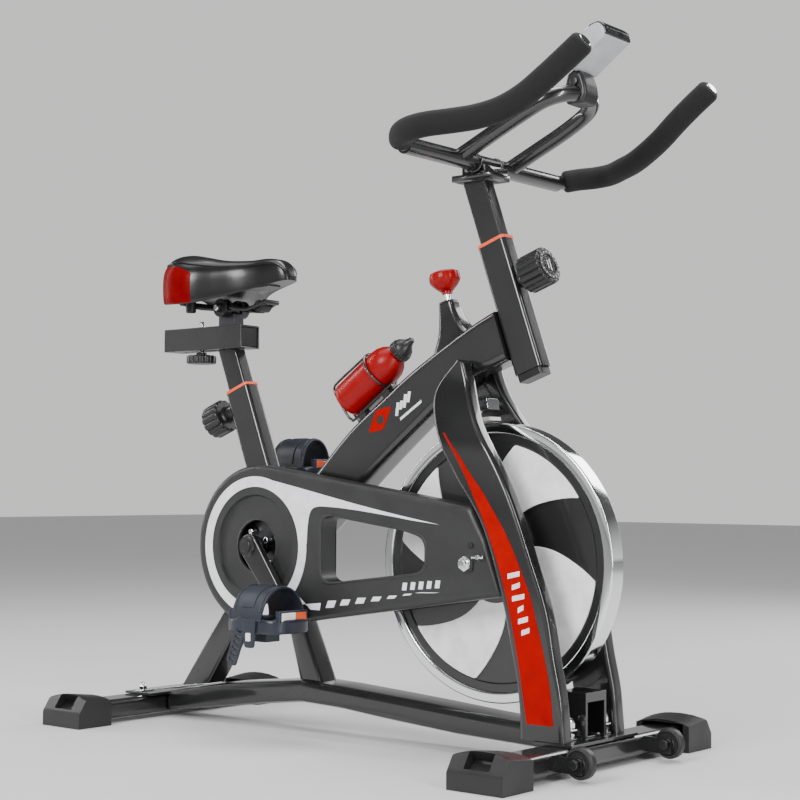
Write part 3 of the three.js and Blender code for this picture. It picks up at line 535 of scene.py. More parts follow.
def finish_surface(piece, look, crease, edge, segments=3):
    """Gives a piece its material, smooth shading and rounded edges."""
    piece.data.materials.clear()
    piece.data.materials.append(look)
    piece.data.shade_smooth()
    piece.data.set_sharp_from_angle(angle=math.radians(crease))
    if edge:
        bevel = piece.modifiers.new("edges", "BEVEL")
        bevel.width = edge * MM
        bevel.segments = segments
        bevel.limit_method = "ANGLE"
        bevel.angle_limit = math.radians(crease)
    flatten = piece.modifiers.new("flat_faces", "WEIGHTED_NORMAL")
    flatten.keep_sharp = True
    flatten.weight = 80


def dress_node(node, look, edge=0.8, crease=35):
    """A CAD node that stays: welded, with rounded edges and its material."""
    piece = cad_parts[node]
    weld = piece.modifiers.new("weld", "WELD")
    weld.merge_threshold = 2e-5
    finish_surface(piece, look, crease, edge)
    return piece


def flat(part):
    """A plate, which is drawn upright, laid down so that its outline is in X and Y."""
    return turned(part, Matrix.Rotation(-math.pi / 2, 3, "X"))


def across(part, axis, along, side):
    """A part drawn along +Z, pointing forwards (1) or back (-1) out of a leaning tube at a height."""
    out = turned(part, Matrix.Rotation(side * math.pi / 2, 3, "Y"))
    return leaning(moved(out, z=along), axis)


def ribbed(radius, ribs, depth, steps=6):
    """A round section whose edge has that many grooves."""
    count = ribs * steps
    section = []
    for i in range(count):
        angle = 2 * math.pi * i / count
        r = radius - depth * max(0.0, math.cos(ribs * angle)) ** 2
        section.append((r * math.cos(angle), r * math.sin(angle)))
    return section


def ring(x, z, radius, thickness, y, sides=48):
    """A round bead about Y."""
    turns = [2 * math.pi * i / 12 for i in range(12)]
    profile = [(radius + thickness * math.cos(a), thickness * math.sin(a)) for a in turns]
    return along_y(revolve(profile, sides, closed=True), x, z, y)


# ---------------------------------------------------------------- the frame
PAINTED = [
    "base_tube", "rear_stabiliser", "front_stabiliser", "rear_leg", "front_leg", "bottom_bracket_shell",
    "seat_tube", "head_tube", "seat_post", "handlebar_post", "slider_sleeve",
]
# The posts come with round corners and thin slivers where they are cut, so they take no bevel.
SHARP_POSTS = ("seat_post", "handlebar_post")
SMALL_NODES = {
    "rear_bolts": (CHROME, 0.6), "front_bolts": (CHROME, 0.6), "seat_collar": (ORANGE, 0.5),
    "head_collar": (ORANGE, 0.5), "head_tube_plug": (BLACK_PLASTIC, 1.0),
    "chain_guard_back": (GUARD_DARK, 0.4), "flywheel_axle": (CHROME, 0.8), "chain": (DARK_STEEL, 0.5),
    "crank_axle": (DARK_STEEL, 0.6), "chainring": (DARK_STEEL, 0.5), "flywheel_sprocket": (DARK_STEEL, 0.5),
    "brake_pad": (FELT, 0.4), "brake_rod": (CHROME, 0.5), "slider_bar": (DARK_STEEL, 0.5),
    "saddle_rails": (BLACK_PLASTIC, 0.0), "saddle_clamp": (BLACK_PLASTIC, 0.8),
    "transport_axle_right": (DARK_STEEL, 0.5), "transport_axle_left": (DARK_STEEL, 0.5),
}


def carried_nodes():
    for node in PAINTED:
        dress_node(node, PAINT, 0.0 if node in SHARP_POSTS else 1.4)
    for node, (look, edge) in SMALL_NODES.items():
        dress_node(node, look, edge)


FRONT_NUT_Z = 55
FOOT_LENGTH = 67
FOOT_DEPTH = 88
FOOT_SLANT = 18
FOOT_LIP, FOOT_SHOULDER, FOOT_CREST = 22, 43, 50


def foot(middle, end):
    """An end cap: arched on top, with a slanted outer face that has a deep rectangular recess."""
    half = FOOT_DEPTH / 2
    arch_steps = 16
    rings = []
    for i in range(25):
        run = FOOT_LENGTH * i / 24 if i > 6 else FOOT_SLANT * i / 6
        limit = FOOT_LIP + (FOOT_CREST - FOOT_LIP) * min(1.0, run / FOOT_SLANT)
        section = [(-half, 0), (half, 0), (half, FOOT_LIP * 0.5), (half, FOOT_LIP)]
        fall = 5 * max(0.0, (run - 25) / (FOOT_LENGTH - 25))
        for k in range(arch_steps + 1):
            u = 1 - 2 * k / arch_steps
            crown = FOOT_SHOULDER + (FOOT_CREST - FOOT_SHOULDER) * (1 - abs(u) ** 2.4) - fall
            section.append((half * u, min(limit, crown)))
        section += [(-half, FOOT_LIP), (-half, FOOT_LIP * 0.5)]
        rings.append([(middle + x, end - run, z) for x, z in section])
    slant = math.atan2(FOOT_CREST - FOOT_LIP, FOOT_SLANT)
    recess = turned(box((-20, -11.5, -16), (20, 11.5, 8)), Matrix.Rotation(slant - math.pi, 3, "X"))
    recess = moved(recess, middle, end - FOOT_SLANT / 2, (FOOT_LIP + FOOT_CREST) / 2)
    mouth = box((middle - 34, end - FOOT_LENGTH - 2, 6), (middle + 34, end - 27, 41))
    return carved(carved(loft(rings), recess), mouth)


def front_nuts():
    """Domed nuts on their washers, between the feet of the fork."""
    for word, side in SIDES.items():
        nut = join(revolve([(11.5, 0), (11.5, 2), (10.5, 2.6)], 36), moved(dome_nut(17, 0), z=2.4))
        mesh_piece(f"front_nut_{word}", "frame", CHROME, "bright_steel",
                   on_side(moved(nut, 563, 42, FRONT_NUT_Z), side))


def feet():
    for place in ("rear", "front"):
        for word, side in SIDES.items():
            node = f"{place}_foot_{word}"
            low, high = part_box(node)
            end = max(abs(low.y), abs(high.y)) / MM
            part = on_side(foot(centre_of(node).x, end), side)
            mesh_piece(f"{place}_foot_cap_{word}", "frame", FOOT_PLASTIC, "black_plastic", part,
                       replaces=(node,),
                       edge=1.6)


TUBE_TOP = [(8, 333), (80, 404), (147, 468), (216, 518), (264, 552), (330, 591), (384, 620), (440, 645)]
TUBE_UNDER = [(34, 262), (147, 359), (217, 419), (293, 480), (367, 537), (420, 555), (470, 574)]
TUBE_WIDTH = 50
HEAD_FACE = 24.5


def up_to_head_tube(line):
    """A line cut where it meets the head tube's rear face."""
    lean = math.radians(HEAD_AXIS["tilt"])
    normal = Vector((math.cos(lean), math.sin(lean)))

    def past(point):
        return (Vector(point) - Vector((HEAD_AXIS["x"], HEAD_AXIS["z"]))).dot(normal) + HEAD_FACE

    kept = []
    for a, b in zip(line, line[1:]):
        kept.append(a)
        if past(a) < 0 <= past(b):
            share = past(a) / (past(a) - past(b))
            kept.append(tuple(p + (q - p) * share for p, q in zip(a, b)))
            break
    return kept


def main_tube():
    count = 70
    top = resample(up_to_head_tube(through(TUBE_TOP)), count)
    under = resample(up_to_head_tube(through(TUBE_UNDER)), count)
    rings = []
    for (x0, z0), (x1, z1) in zip(under, top):
        height = math.dist((x0, z0), (x1, z1))
        section = rectangle(TUBE_WIDTH, height, 13, 6)
        rings.append([
            ((x0 + x1) / 2 + (x1 - x0) * v / height, u, (z0 + z1) / 2 + (z1 - z0) * v / height)
            for u, v in section
        ])
    mesh_piece("top_tube_shell", "frame", PAINT, "frame_paint", loft(rings), replaces=("top_tube",))


def slanted_bar(x, z, width, height, slant, low, high):
    """A small upright parallelogram decal."""
    w, h = width / 2, height / 2
    outline = [(x - w, z - h), (x + w, z - h), (x + w + slant, z + h), (x - w + slant, z + h)]
    return plate([outline], low, high, 0.05, 1)


def tube_mark():
    """A made-up mark on the tube's sides: a red lozenge and a few white bars."""
    face = TUBE_WIDTH / 2
    low, high = face - 0.1, face + 0.35
    middle = (213, 483)
    mark = rounded([(middle[0] - 24, middle[1] - 20), (middle[0] + 6, middle[1] - 15),
                    (middle[0] + 22, middle[1] + 20), (middle[0] - 8, middle[1] + 15)], 6, 5)
    hole = circle(*middle, 7, 32)
    rise = math.radians(37)
    bars = []
    for i, height in enumerate((20, 13, 20, 16)):
        reach = 28 + 11 * i
        x = 226 + reach * math.cos(rise) * 0.82
        z = 483 + reach * math.sin(rise) * 0.9
        bars.append(slanted_bar(x, z, 5.5, height, 3, low, high))
    line = [(252, 481), (292, 507), (291, 511), (251, 485)]
    bars.append(plate([line], low, high, 0.05, 1))
    for word, side in SIDES.items():
        lozenge = on_side(plate([mark, hole], low, high, 0.05, 1), side)
        mesh_piece(f"tube_mark_lozenge_{word}", "frame", RED_DECAL, "red_plastic", lozenge)
        parts = [on_side(part, side) for part in bars]
        mesh_piece(f"tube_mark_bars_{word}", "frame", WHITE_DECAL, "console_plastic", *parts)


FORK_REAR = [
    (374, 566), (344, 536), (336, 512), (347, 478), (369, 437), (398, 392),
    (440, 329), (471, 241), (491, 160), (503, 93), (506, 41.5),
]
FORK_FRONT = [
    (386, 560), (401, 516), (422, 476), (457, 427), (491, 365), (524, 284),
    (549, 217), (562, 151), (573, 99), (578, 41.5),
]
FORK_FACE = 80
FORK_THICKNESS = 25
FORK_PINCH = 29.4
FORK_BEND = (430, 547)


def fork_lean(z):
    """How far a fork leg has leant in towards the tube at a height."""
    low, high = FORK_BEND
    t = min(1.0, max(0.0, (z - low) / (high - low)))
    return FORK_PINCH * t * t * (3 - 2 * t)


def fork_legs():
    count = 90
    rear = resample(through(FORK_REAR, 8), count)
    front = resample(through(FORK_FRONT, 8), count)
    rings = []
    for (x0, z0), (x1, z1) in zip(rear, front):
        width = math.dist((x0, z0), (x1, z1))
        section = rectangle(width, FORK_THICKNESS, 8, 6)
        ring_points = []
        for u, v in section:
            share = 0.5 + u / width
            x, z = x0 + (x1 - x0) * share, z0 + (z1 - z0) * share
            ring_points.append((x, FORK_FACE - FORK_THICKNESS / 2 + v - fork_lean(z), z))
        rings.append(ring_points)
    leg = loft(rings)
    lug = plate([rounded([(388, 254), (470, 254), (470, 298), (388, 298)], 8)], 58, 66, 1)
    for word, side in SIDES.items():
        mesh_piece(
            f"fork_{word}", "frame", PAINT, "frame_paint", on_side(leg, side), on_side(lug, side),
            replaces=(f"fork_leg_{word}",),
        )


STRIPE_REAR = [
    (371, 459), (393, 431), (414, 397), (431, 364), (448, 331), (463, 295),
    (478, 254), (489, 216), (498, 178), (505, 144), (512, 103), (519, 63),
]
STRIPE_FRONT = [
    (373, 460), (383, 449), (402, 428), (421, 403), (444, 376), (463, 349), (481, 323),
    (496, 296), (510, 267), (525, 233), (537, 192), (548, 152), (557, 110), (562, 63),
]


def fork_decals():
    """The red blade down each leg's outer face, with a row of plain white bars on it."""
    count = 60
    rear = resample(through(STRIPE_REAR), count)
    front = resample(through(STRIPE_FRONT), count)
    rings = []
    for (x0, z0), (x1, z1) in zip(rear, front):
        ring_points = []
        for x, z, lift in ((x0, z0, -0.2), (x1, z1, -0.2), (x1, z1, 0.3), (x0, z0, 0.3)):
            ring_points.append((x, FORK_FACE - fork_lean(z) + lift, z))
        rings.append(ring_points)
    bars = []
    lengths = (20, 13, 20, 9, 16, 13)
    for i, length in enumerate(lengths):
        t = i / (len(lengths) - 1)
        x, z = 497 + 20 * t, 260 - 76 * t
        bars.append(plate([[(x - length / 2, z - 3), (x + length / 2, z + 1.5),
                            (x + length / 2, z + 8.5), (x - length / 2, z + 4)]],
                          FORK_FACE + 0.25, FORK_FACE + 0.7, 0.05, 1))
    for word, side in SIDES.items():
        mesh_piece(f"fork_stripe_{word}", "frame", RED_DECAL, "red_plastic", on_side(loft(rings), side))
        mesh_piece(f"fork_bars_{word}", "frame", WHITE_DECAL, "console_plastic",
                   *[on_side(part, side) for part in bars])


# ---------------------------------------------------------------- flywheel
BLADE_SWIRL = [(58, 31), (90, 22), (130, 10), (171, 0)]
BLADES = [(33, 78), (127, 171), (215, 259), (309, 353)]


def polar(radius, angle):
    a = math.radians(angle)
    return WHEEL.x + radius * math.cos(a), WHEEL.z + radius * math.sin(a)


def blade_outline(start, end):
    radii = [58 + (171 - 58) * i / 10 for i in range(11)]
    rising = [polar(r, start + between(BLADE_SWIRL, r)) for r in radii]
    outer = [polar(171, start + (end - start) * i / 16) for i in range(1, 16)]
    falling = [polar(r, end + between(BLADE_SWIRL, r)) for r in reversed(radii)]
    inner = [polar(58, end + 31 - (end - start) * i / 8) for i in range(1, 8)]
    return rising + outer + falling + inner


def flywheel():
    half = 15
    rim = [(184, -12), (185.5, -half + 0.8), (187, -half), (197.5, -half), (199.4, -half + 0.9),
           (200, -half + 2.6), (200, half - 2.6), (199.4, half - 0.9), (197.5, half), (187, half),
           (185.5, half - 0.8), (184, 12)]
    disc = [(184.5, -11), (173, -10.6), (171, -9), (60, -9), (56, -11), (26, -11), (22, -21), (8, -21),
            (8, 21), (22, 21), (26, 11), (56, 11), (60, 9), (171, 9), (173, 10.6), (184.5, 11)]
    sleeve = [(7.2, -44), (15, -44), (16, -43), (16, -20), (7.2, -20)]

    def turn(profile, sides):
        return along_y(revolve(profile, sides, closed=True), WHEEL.x, WHEEL.z)

    mesh_piece("flywheel_rim", "flywheel", CHROME, "wheel_metal", turn(rim, 160), replaces=("flywheel",),
               crease=50)
    mesh_piece("flywheel_disc", "flywheel", DISC_BLACK, "frame_paint", turn(disc, 128), crease=30)
    mesh_piece("flywheel_spacer", "flywheel", CHROME, "bright_steel", turn(sleeve, 40), crease=30)
    blades = []
    for start, end in BLADES:
        outline = rounded(blade_outline(start, end), 2, 1)
        blades.append(plate([outline], 8.8, 11.6, 0.8))
    # Painted reflection: the blades' near-white colour stands in for the glare off their polished silver
    # faces.
    for word, side in SIDES.items():
        mesh_piece(f"flywheel_blades_{word}", "flywheel", BLADE_SILVER_PAINTED_REFLECTION, "wheel_metal",
                   *[on_side(part, side) for part in blades])


# ---------------------------------------------------------------- chain guard
GUARD = {"radius": 126, "face": -74, "back": -40, "wall": 3}


def guard_outline(inset):
    rim = arc(0, CRANK_Z, GUARD["radius"] - inset, 81.2, 278, 90)
    corners = [(471.5 - inset, 231.5 + inset), (446 - inset, 304), (419 - inset, 354.8 - inset)]
    turned_corners = rounded([rim[-1]] + corners + [rim[0]], 6, 5)
    return rim + turned_corners[6:24]


def guard_window(grow):
    corners = [
        (138 - grow, 236 - grow), (300, 256 - grow), (336 + grow, 261 - grow), (337 + grow, 308 + grow),
        (300, 318 + grow), (138 - grow, 340 + grow),
    ]
    return rounded(corners, 26, 7)


def chain_guard():
    face, back, wall = GUARD["face"], GUARD["back"], GUARD["wall"]
    shoulder = 8
    outer = [(0, back), (0, face + shoulder)]
    for step in range(1, 7):
        a = math.radians(15 * step)
        outer.append((shoulder * (1 - math.cos(a)), face + shoulder * (1 - math.sin(a))))
    inner = [(shoulder + 3, face), (shoulder + 3, face + wall), (shoulder, face + wall),
             (wall, face + shoulder),
             (wall, back)]
    rings = [[(x, y, z) for x, z in guard_outline(inset)] for inset, y in outer + inner]
    shell = loft(rings, closed=True)
    dish_radius = 81
    front = plate([guard_outline(shoulder + 2.9), guard_window(4), circle(0, CRANK_Z, dish_radius, 90),
                   circle(WHEEL.x, WHEEL.z, 10, 32)], face, face + wall)
    lip = plate([guard_window(4.1), guard_window(0)], face - 0.8, back, 1.6, 3)
    dish = [(dish_radius + 0.1, face), (dish_radius - 1, face), (dish_radius - 3.5, face + 4.2),
            (44, face + 5),
            (41, face + 4), (40, face + 5.5), (40, face + 8), (dish_radius + 0.1, face + 8)]
    step = along_y(revolve(dish, 90, closed=True), 0, CRANK_Z)
    mesh_piece("chain_guard_cover", "frame", GUARD_GREY, "guard_plastic", shell, front, lip, step,
               replaces=("chain_guard",), crease=40)


SWOOSH_TOP = [(20, 394), (82, 382), (150, 368), (209, 356), (262, 346), (314, 337), (362, 329)]
SWOOSH_UNDER = [(314, 334), (262, 341), (191, 349), (143, 352), (128, 351), (119, 347), (114, 337),
                (111, 320),
                (109.5, 295)]
RING_OUTER, RING_INNER = 108.7, 92.5
DASHES = [(154, 170, 200, 211), (182, 198, 205, 214), (212, 228, 209, 218), (242, 258, 214, 221),
          (272, 287, 219, 224), (301, 315, 225, 228), (330, 365, 230, 231.6)]


def guard_decals():
    face = GUARD["face"]
    low, high = face - 0.35, face + 0.1
    ring_loops = [circle(0, CRANK_Z, RING_OUTER, 120), circle(0, CRANK_Z, RING_INNER, 120)]
    sweep = resample(through(SWOOSH_TOP), 40) + resample(through(SWOOSH_UNDER), 50)
    sweep += arc(0, CRANK_Z, RING_OUTER - 1, 3, 79, 30)
    wedge = arc(0, CRANK_Z, RING_OUTER - 1, -52, -38, 10) + [(119, 196), (137, 196), (139, 207), (103, 203)]
    parts = [plate(ring_loops, low, high, 0.05, 1), plate([sweep], low + 0.03, high, 0.05, 1),
             plate([wedge], low + 0.015, high, 0.05, 1)]
    for x0, x1, z0, z1 in DASHES:
        slant = (x1 - x0) * 0.3
        parts.append(plate([[(x0 - slant, z0), (x1 - slant, z0 + 1.5), (x1, z1 + 1), (x0, z1)]], low, high,
                           0.05, 1))
    mesh_piece("guard_white_sweep", "frame", WHITE_DECAL, "console_plastic", *parts)
    bars = []
    for i in range(5):
        x = 300 + 15 * i
        z = 238.5 + 1.4 * i
        bars.append(slanted_bar(x, z, 8, 11, 2, low, high))
    mesh_piece("guard_white_bars", "frame", WHITE_DECAL, "console_plastic", *bars)


def guard_screws():
    face = GUARD["face"]
    parts = []
    for x, z in ((419, 301), (419, 268)):
        head = revolve([(4.5, 0), (4.5, 2.2), (3.4, 3.2)], 24)
        parts.append(mirrored(along_y(head, x, z, -face - 0.5)))
    mesh_piece("guard_screws", "frame", BLACK_PLASTIC, "black_plastic", *parts)
    stem = turned(revolve([(2.8, 0), (2.8, 19), (2.2, 20)], 24), Matrix.Rotation(math.pi / 2, 3, "Y"))
    nut = turned(hexagon(12, 0, 5), Matrix.Rotation(math.pi / 2, 3, "Y"))
    tensioner = join(moved(stem, 425, -78.5, 285), moved(nut, 434, -78.5, 285))
    mesh_piece("chain_tensioner", "frame", CHROME, "bright_steel", tensioner, mirrored(tensioner))


# ---------------------------------------------------------------- cranks and pedals
CRANK_FACE = (78, 90)


def cranks():
    for word, side in SIDES.items():
        pedal = PEDALS[word]
        run = math.hypot(pedal.x, pedal.z - CRANK_Z)
        slope = math.degrees(math.atan2(pedal.z - CRANK_Z, pedal.x))
        lean = math.degrees(math.acos((19 - 13) / run))
        outline = arc(0, CRANK_Z, 19, slope + lean, slope - lean + 360, 32)
        outline += arc(pedal.x, pedal.z, 13, slope - lean, slope + lean, 20)
        waist = plate([outline], *CRANK_FACE, 3.2, 4)
        spindle = along_y(revolve([(7, 84), (7, 95), (5.5, 96), (5.5, 172)], 28), pedal.x, pedal.z)
        boss = along_y(revolve([(15, 70), (16, 71), (16, 92), (14.5, 93.5)], 40), 0, CRANK_Z)
        mesh_piece(f"crank_arm_{word}", "crank", PAINT, "frame_paint", on_side(waist, side),
                   on_side(spindle, side), on_side(boss, side), replaces=(f"crank_{word}",))
        cap = along_y(revolve([(9.5, 93), (9.5, 94.5), (8.2, 95.5)], 32), 0, CRANK_Z)
        mesh_piece(f"crank_cap_{word}", "crank", BLACK_PLASTIC, "black_plastic", on_side(cap, side))


def spider_bolts():
    """The chrome bolts seen through the guard's round opening, on the chainring."""
    parts = []
    for x, z in ((-21, 311), (12, 298), (-33, 288), (20, 262)):
        bolt = join(revolve([(5.5, 0), (5.5, 4), (4.5, 5.5), (2.5, 6.4)], 28),
                    revolve([(3, -9), (3, 1)], 20))
        parts.append(moved(mirrored(along_y(bolt, x, z)), y=-57))
    mesh_piece("spider_bolts", "crank", CHROME, "bright_steel", *parts)


PEDAL_SIZE = (116, 86)
PEDAL_MIDDLE = 136


def on_pedal(word, *parts):
    """Parts drawn about a left pedal's middle, put on either pedal."""
    centre = PEDALS[word]
    return [on_side(moved(part, centre.x, PEDAL_MIDDLE, centre.z), SIDES[word]) for part in parts]


def pedals():
    length, width = PEDAL_SIZE
    outline = rectangle(length, width, 36, 9)
    openings = [rounded([(x - 12, -25), (x + 12, -25), (x + 12, 25), (x - 12, 25)], 6, 4) for x in (-25, 25)]
    tray = flat(plate([outline] + openings, -11, 9, 3.6, 4))
    rim_path = [(x, y, 8.5) for x, y in rectangle(length - 7, width - 7, 33, 9)]
    rim = tube(rim_path + rim_path[:2], 3.4, 14)
    deck = flat(plate([rectangle(76, 60, 14, 6), rectangle(66, 50, 10, 6)], 8.5, 11, 0.6, 2))
    barrel = along_y(revolve([(11, -41), (12.5, -39), (12.5, 39), (11, 41)], 36), 0, 0)
    weight = box((-16, -9, -23), (16, 21, -10))
    studs = [moved(revolve([(2.8, 8), (2.4, 12.5)], 14), x, y, 0) for x in (-37, 37) for y in (-24, -8, 8,
                                                                                               24)]
    for word in SIDES:
        mesh_piece(f"pedal_body_{word}", f"pedal_{word}", PEDAL_PLASTIC, "pedal_plastic",
                   *on_pedal(word, tray, rim, deck, barrel, weight, *studs), replaces=(f"pedal_{word}",),
                   edge=0.6)
        shoe = [box((x - 5, -30, 4), (x + 5, 31, 25)) for x in (-48, 48)]
        mesh_piece(f"pedal_reflector_holder_{word}", f"pedal_{word}", PEDAL_PLASTIC, "pedal_plastic",
                   *on_pedal(word, *shoe), edge=2.2)
        for colour, look, slot, low, high in (
            ("white", REFLECTOR_WHITE, "console_plastic", -3, 27),
            ("orange", REFLECTOR_ORANGE, "orange_plastic", -26, -3.6),
        ):
            lens = [box((x - 5.8, low, 9), (x + 5.8, high, 22)) for x in (-48, 48)]
            mesh_piece(f"pedal_reflector_{colour}_{word}", f"pedal_{word}", look, slot,
                       *on_pedal(word, *lens),
                       edge=1.2)


def strap_arch(half, height, steps=30):
    """The strap's line over the toes, as (across, up) points."""
    points = []
    for i in range(steps + 1):
        t = i / steps
        u = 1 - t
        y = -half * u ** 3 - 3 * half * u * u * t + 2.4 * half * u * t * t + half * t ** 3
        z = 3.7 * height * u * u * t + 4.2 * height * u * t * t
        points.append((y, z))
    return points


def strap_band(half_low, half_high, thickness, lift, first=0, last=31):
    """A band laid over the arch, from one of its edges to the other."""
    outer, inner = strap_arch(42 + lift, 50 + lift), strap_arch(42 + lift - thickness, 50 + lift - thickness)
    rings = []
    for i, ((y0, z0), (y1, z1)) in enumerate(list(zip(outer, inner))[first:last]):
        share = (first + i) / (len(outer) - 1)
        half = half_low + (half_high - half_low) * share
        shift = -6 * share
        rings.append([(shift - half, y0, z0), (shift + half, y0, z0), (shift + half, y1, z1),
                      (shift - half, y1, z1)])
    return moved(loft(rings), z=10)


def straps():
    """The toe straps: a wide arch with a raised middle band, a slotted tail and a buckle tab outside."""
    slots = [rounded([(-6, z), (6, z), (6, z + 4), (-6, z + 4)], 1.2, 2) for z in range(-54, -8, 9)]
    tail_outline = rounded([(-10, -60), (10, -60), (12, 14), (-12, 14)], 6, 4)
    tail = plate([tail_outline] + slots, 41, 44.4, 0.8)
    tail = moved(turned(tail, Matrix.Rotation(math.radians(20), 3, "Y")), x=-14)
    tab_outline = rounded([(-4, -30), (14, -30), (18, 12), (-10, 12)], 5, 4)
    tab = plate([tab_outline], 42.5, 46.8, 1.2)
    stitches = []
    for edge_side in (-1, 1):
        band = strap_arch(42.2, 50.2)
        path = []
        for i, (y, z) in enumerate(band[2:-2]):
            share = (i + 2) / (len(band) - 1)
            path.append((-6 * share + edge_side * (31 - 6 * share), y, z + 10))
        stitches.append(tube(path, 0.7, 6))
    for word in SIDES:
        mesh_piece(f"strap_{word}", f"pedal_{word}", STRAP_RUBBER, "strap_rubber",
                   *on_pedal(word, strap_band(36, 30, 3, 0), strap_band(14, 11, 2, 1.2, 1, 28), tail, tab),
                   replaces=(f"pedal_strap_{word}",), edge=0.5)
        mesh_piece(f"strap_stitching_{word}", f"pedal_{word}", PEDAL_PLASTIC, "pedal_plastic",
                   *on_pedal(word, *stitches))
        label = plate([rounded([(-1, -20), (9, -20), (9, -8), (-1, -8)], 1.5, 2)], 46.4, 47.3, 0.2)
        mesh_piece(f"strap_tab_{word}", f"pedal_{word}", REFLECTOR_WHITE, "console_plastic",
                   *on_pedal(word, label))


# ---------------------------------------------------------------- knobs
def pull_knobs():
    """The two pull knobs: height along the tube, side, tube depth, boss length and grip length."""
    knobs = {
        "seat": (SEAT_AXIS, 243, -1, 25, 20, 36),
        "head": (HEAD_AXIS, -56, 1, 24, 10, 41),
    }
    for word, (axis, along, side, wall, boss, grip) in knobs.items():
        face = wall + 0.3
        low, high = face + boss, face + boss + grip
        grip_body = prism(ribbed(28, 14, 2.4), low, high, 4)
        root = revolve([(12, face), (12, low - 2), (15, low), (15, low + 4)], 40)
        stem = revolve([(4, 20), (4, low + 2)], 24)
        ring_edge = revolve([(22, high - 1), (22, high + 0.3), (21, high + 1), (17, high + 1), (16, high)],
                            48)
        mesh_piece(f"{word}_knob_grip", f"{word}_knob", BLACK_PLASTIC, "black_plastic",
                   *[across(part, axis, along, side) for part in (grip_body, root, ring_edge)],
                   replaces=(f"{word}_knob",), crease=30)
        mesh_piece(f"{word}_knob_stem", f"{word}_knob", CHROME, "bright_steel",
                   across(stem, axis, along, side))
        marks = []
        for k in range(16):
            turn = Matrix.Rotation(math.pi * k / 8, 3, "Z")
            marks.append(turned(box((18.2, -0.5, high + 0.8), (20.6, 0.5, high + 1.3)), turn))
        marks += [box((-9, 2, high - 0.2), (9, 4, high + 0.4)),
                  box((-6, -4, high - 0.2), (6, -2, high + 0.4))]
        mesh_piece(f"{word}_knob_marks", f"{word}_knob", CONSOLE_WHITE, "console_plastic",
                   *[across(part, axis, along, side) for part in marks])


def slider_knob():
    low, high = 586, 600
    grip = prism(ribbed(25, 12, 2.2), low, high, 3)
    parts = [grip, revolve([(9, high - 1), (9, 604.5)], 32)]
    mesh_piece("slider_knob_grip", "slider_knob", BLACK_PLASTIC, "black_plastic",
               *[moved(part, x=-199) for part in parts], replaces=("slider_knob",), crease=30)
    thread = [(4.6, high)]
    for turn in range(28):
        height = high + 1 + 2 * turn
        thread += [(4.6, height), (5.2, height + 0.7), (4.6, height + 1.4)]
    mesh_piece("slider_knob_stud", "slider_knob", CHROME, "bright_steel", moved(revolve(thread, 24), x=-199))


def sleeve_cap():
    """The dark plug in the sleeve's front end."""
    section = rectangle(38, 31, 2, 4)
    rings = [[(x, u, 626 + v) for u, v in section] for x in (-93, -88)]
    mesh_piece("sleeve_plug", "seat_post", BLACK_PLASTIC, "black_plastic", loft(rings), edge=0.8)


# ---------------------------------------------------------------- saddle
SADDLE_TOP = [(-228, 722), (-223, 742), (-213, 754), (-196, 762), (-172, 763), (-145, 758), (-110, 751),
              (-70, 749),
              (-40, 750), (-18, 747), (-4, 739), (4, 728), (8, 718)]
SADDLE_SKIRT = [(-228, 698), (-222, 686), (-205, 679), (-175, 677), (-140, 678), (-110, 686), (-80, 695),
                (-47, 702),
                (-10, 709), (8, 712)]
SADDLE_HALF = [(-228, 20), (-225, 44), (-217, 68), (-204, 84), (-188, 91), (-170, 92), (-142, 85),
               (-112, 62),
               (-82, 40), (-52, 28), (-22, 22), (-4, 18), (5, 13), (8, 7)]
SADDLE_RIM = 0.42
SADDLE_ARCH = 15
SIDE_POWER, CROWN_POWER, SKIRT_POWER = 0.5, 0.9, 0.6


def saddle_shape(x):
    """The saddle's half width, skirt, widest height and top at a place along it."""
    half = between(SADDLE_HALF, x)
    low, high = between(SADDLE_SKIRT, x), between(SADDLE_TOP, x)
    return half, low, low + (high - low) * SADDLE_RIM, high


def saddle_point(x, angle, grow=0.0):
    """A point of the cover: crowned above its widest line, then a skirt round a hollow underside."""
    half, low, rim, high = saddle_shape(x)
    c, s = math.cos(angle), math.sin(angle)
    if s >= 0:
        y = (half + grow) * math.copysign(abs(c) ** SIDE_POWER, c)
        z = rim + (high + grow - rim) * s ** CROWN_POWER
        middle = max(0.0, 1 - (y / half / 0.5) ** 2)
        z -= 4.5 * middle * middle * min(1.0, max(0.0, (-70 - x) / 60))
        return x, y, z
    depth = min(1.0, 2 * abs(s))
    if abs(s) <= 0.5:
        z = rim - (rim - low) * math.sin(depth * math.pi / 2)
        y = half * math.copysign(1 - 0.05 * depth ** 2, c)
        return x, y, z
    inward = (abs(s) - 0.5) / 0.5
    share = 0.95 * math.copysign(1 - inward, c)
    arch = min(SADDLE_ARCH, max(0.0, half - 20) * 0.5)
    return x, half * share, low + arch * (1 - (share / 0.95) ** 4)


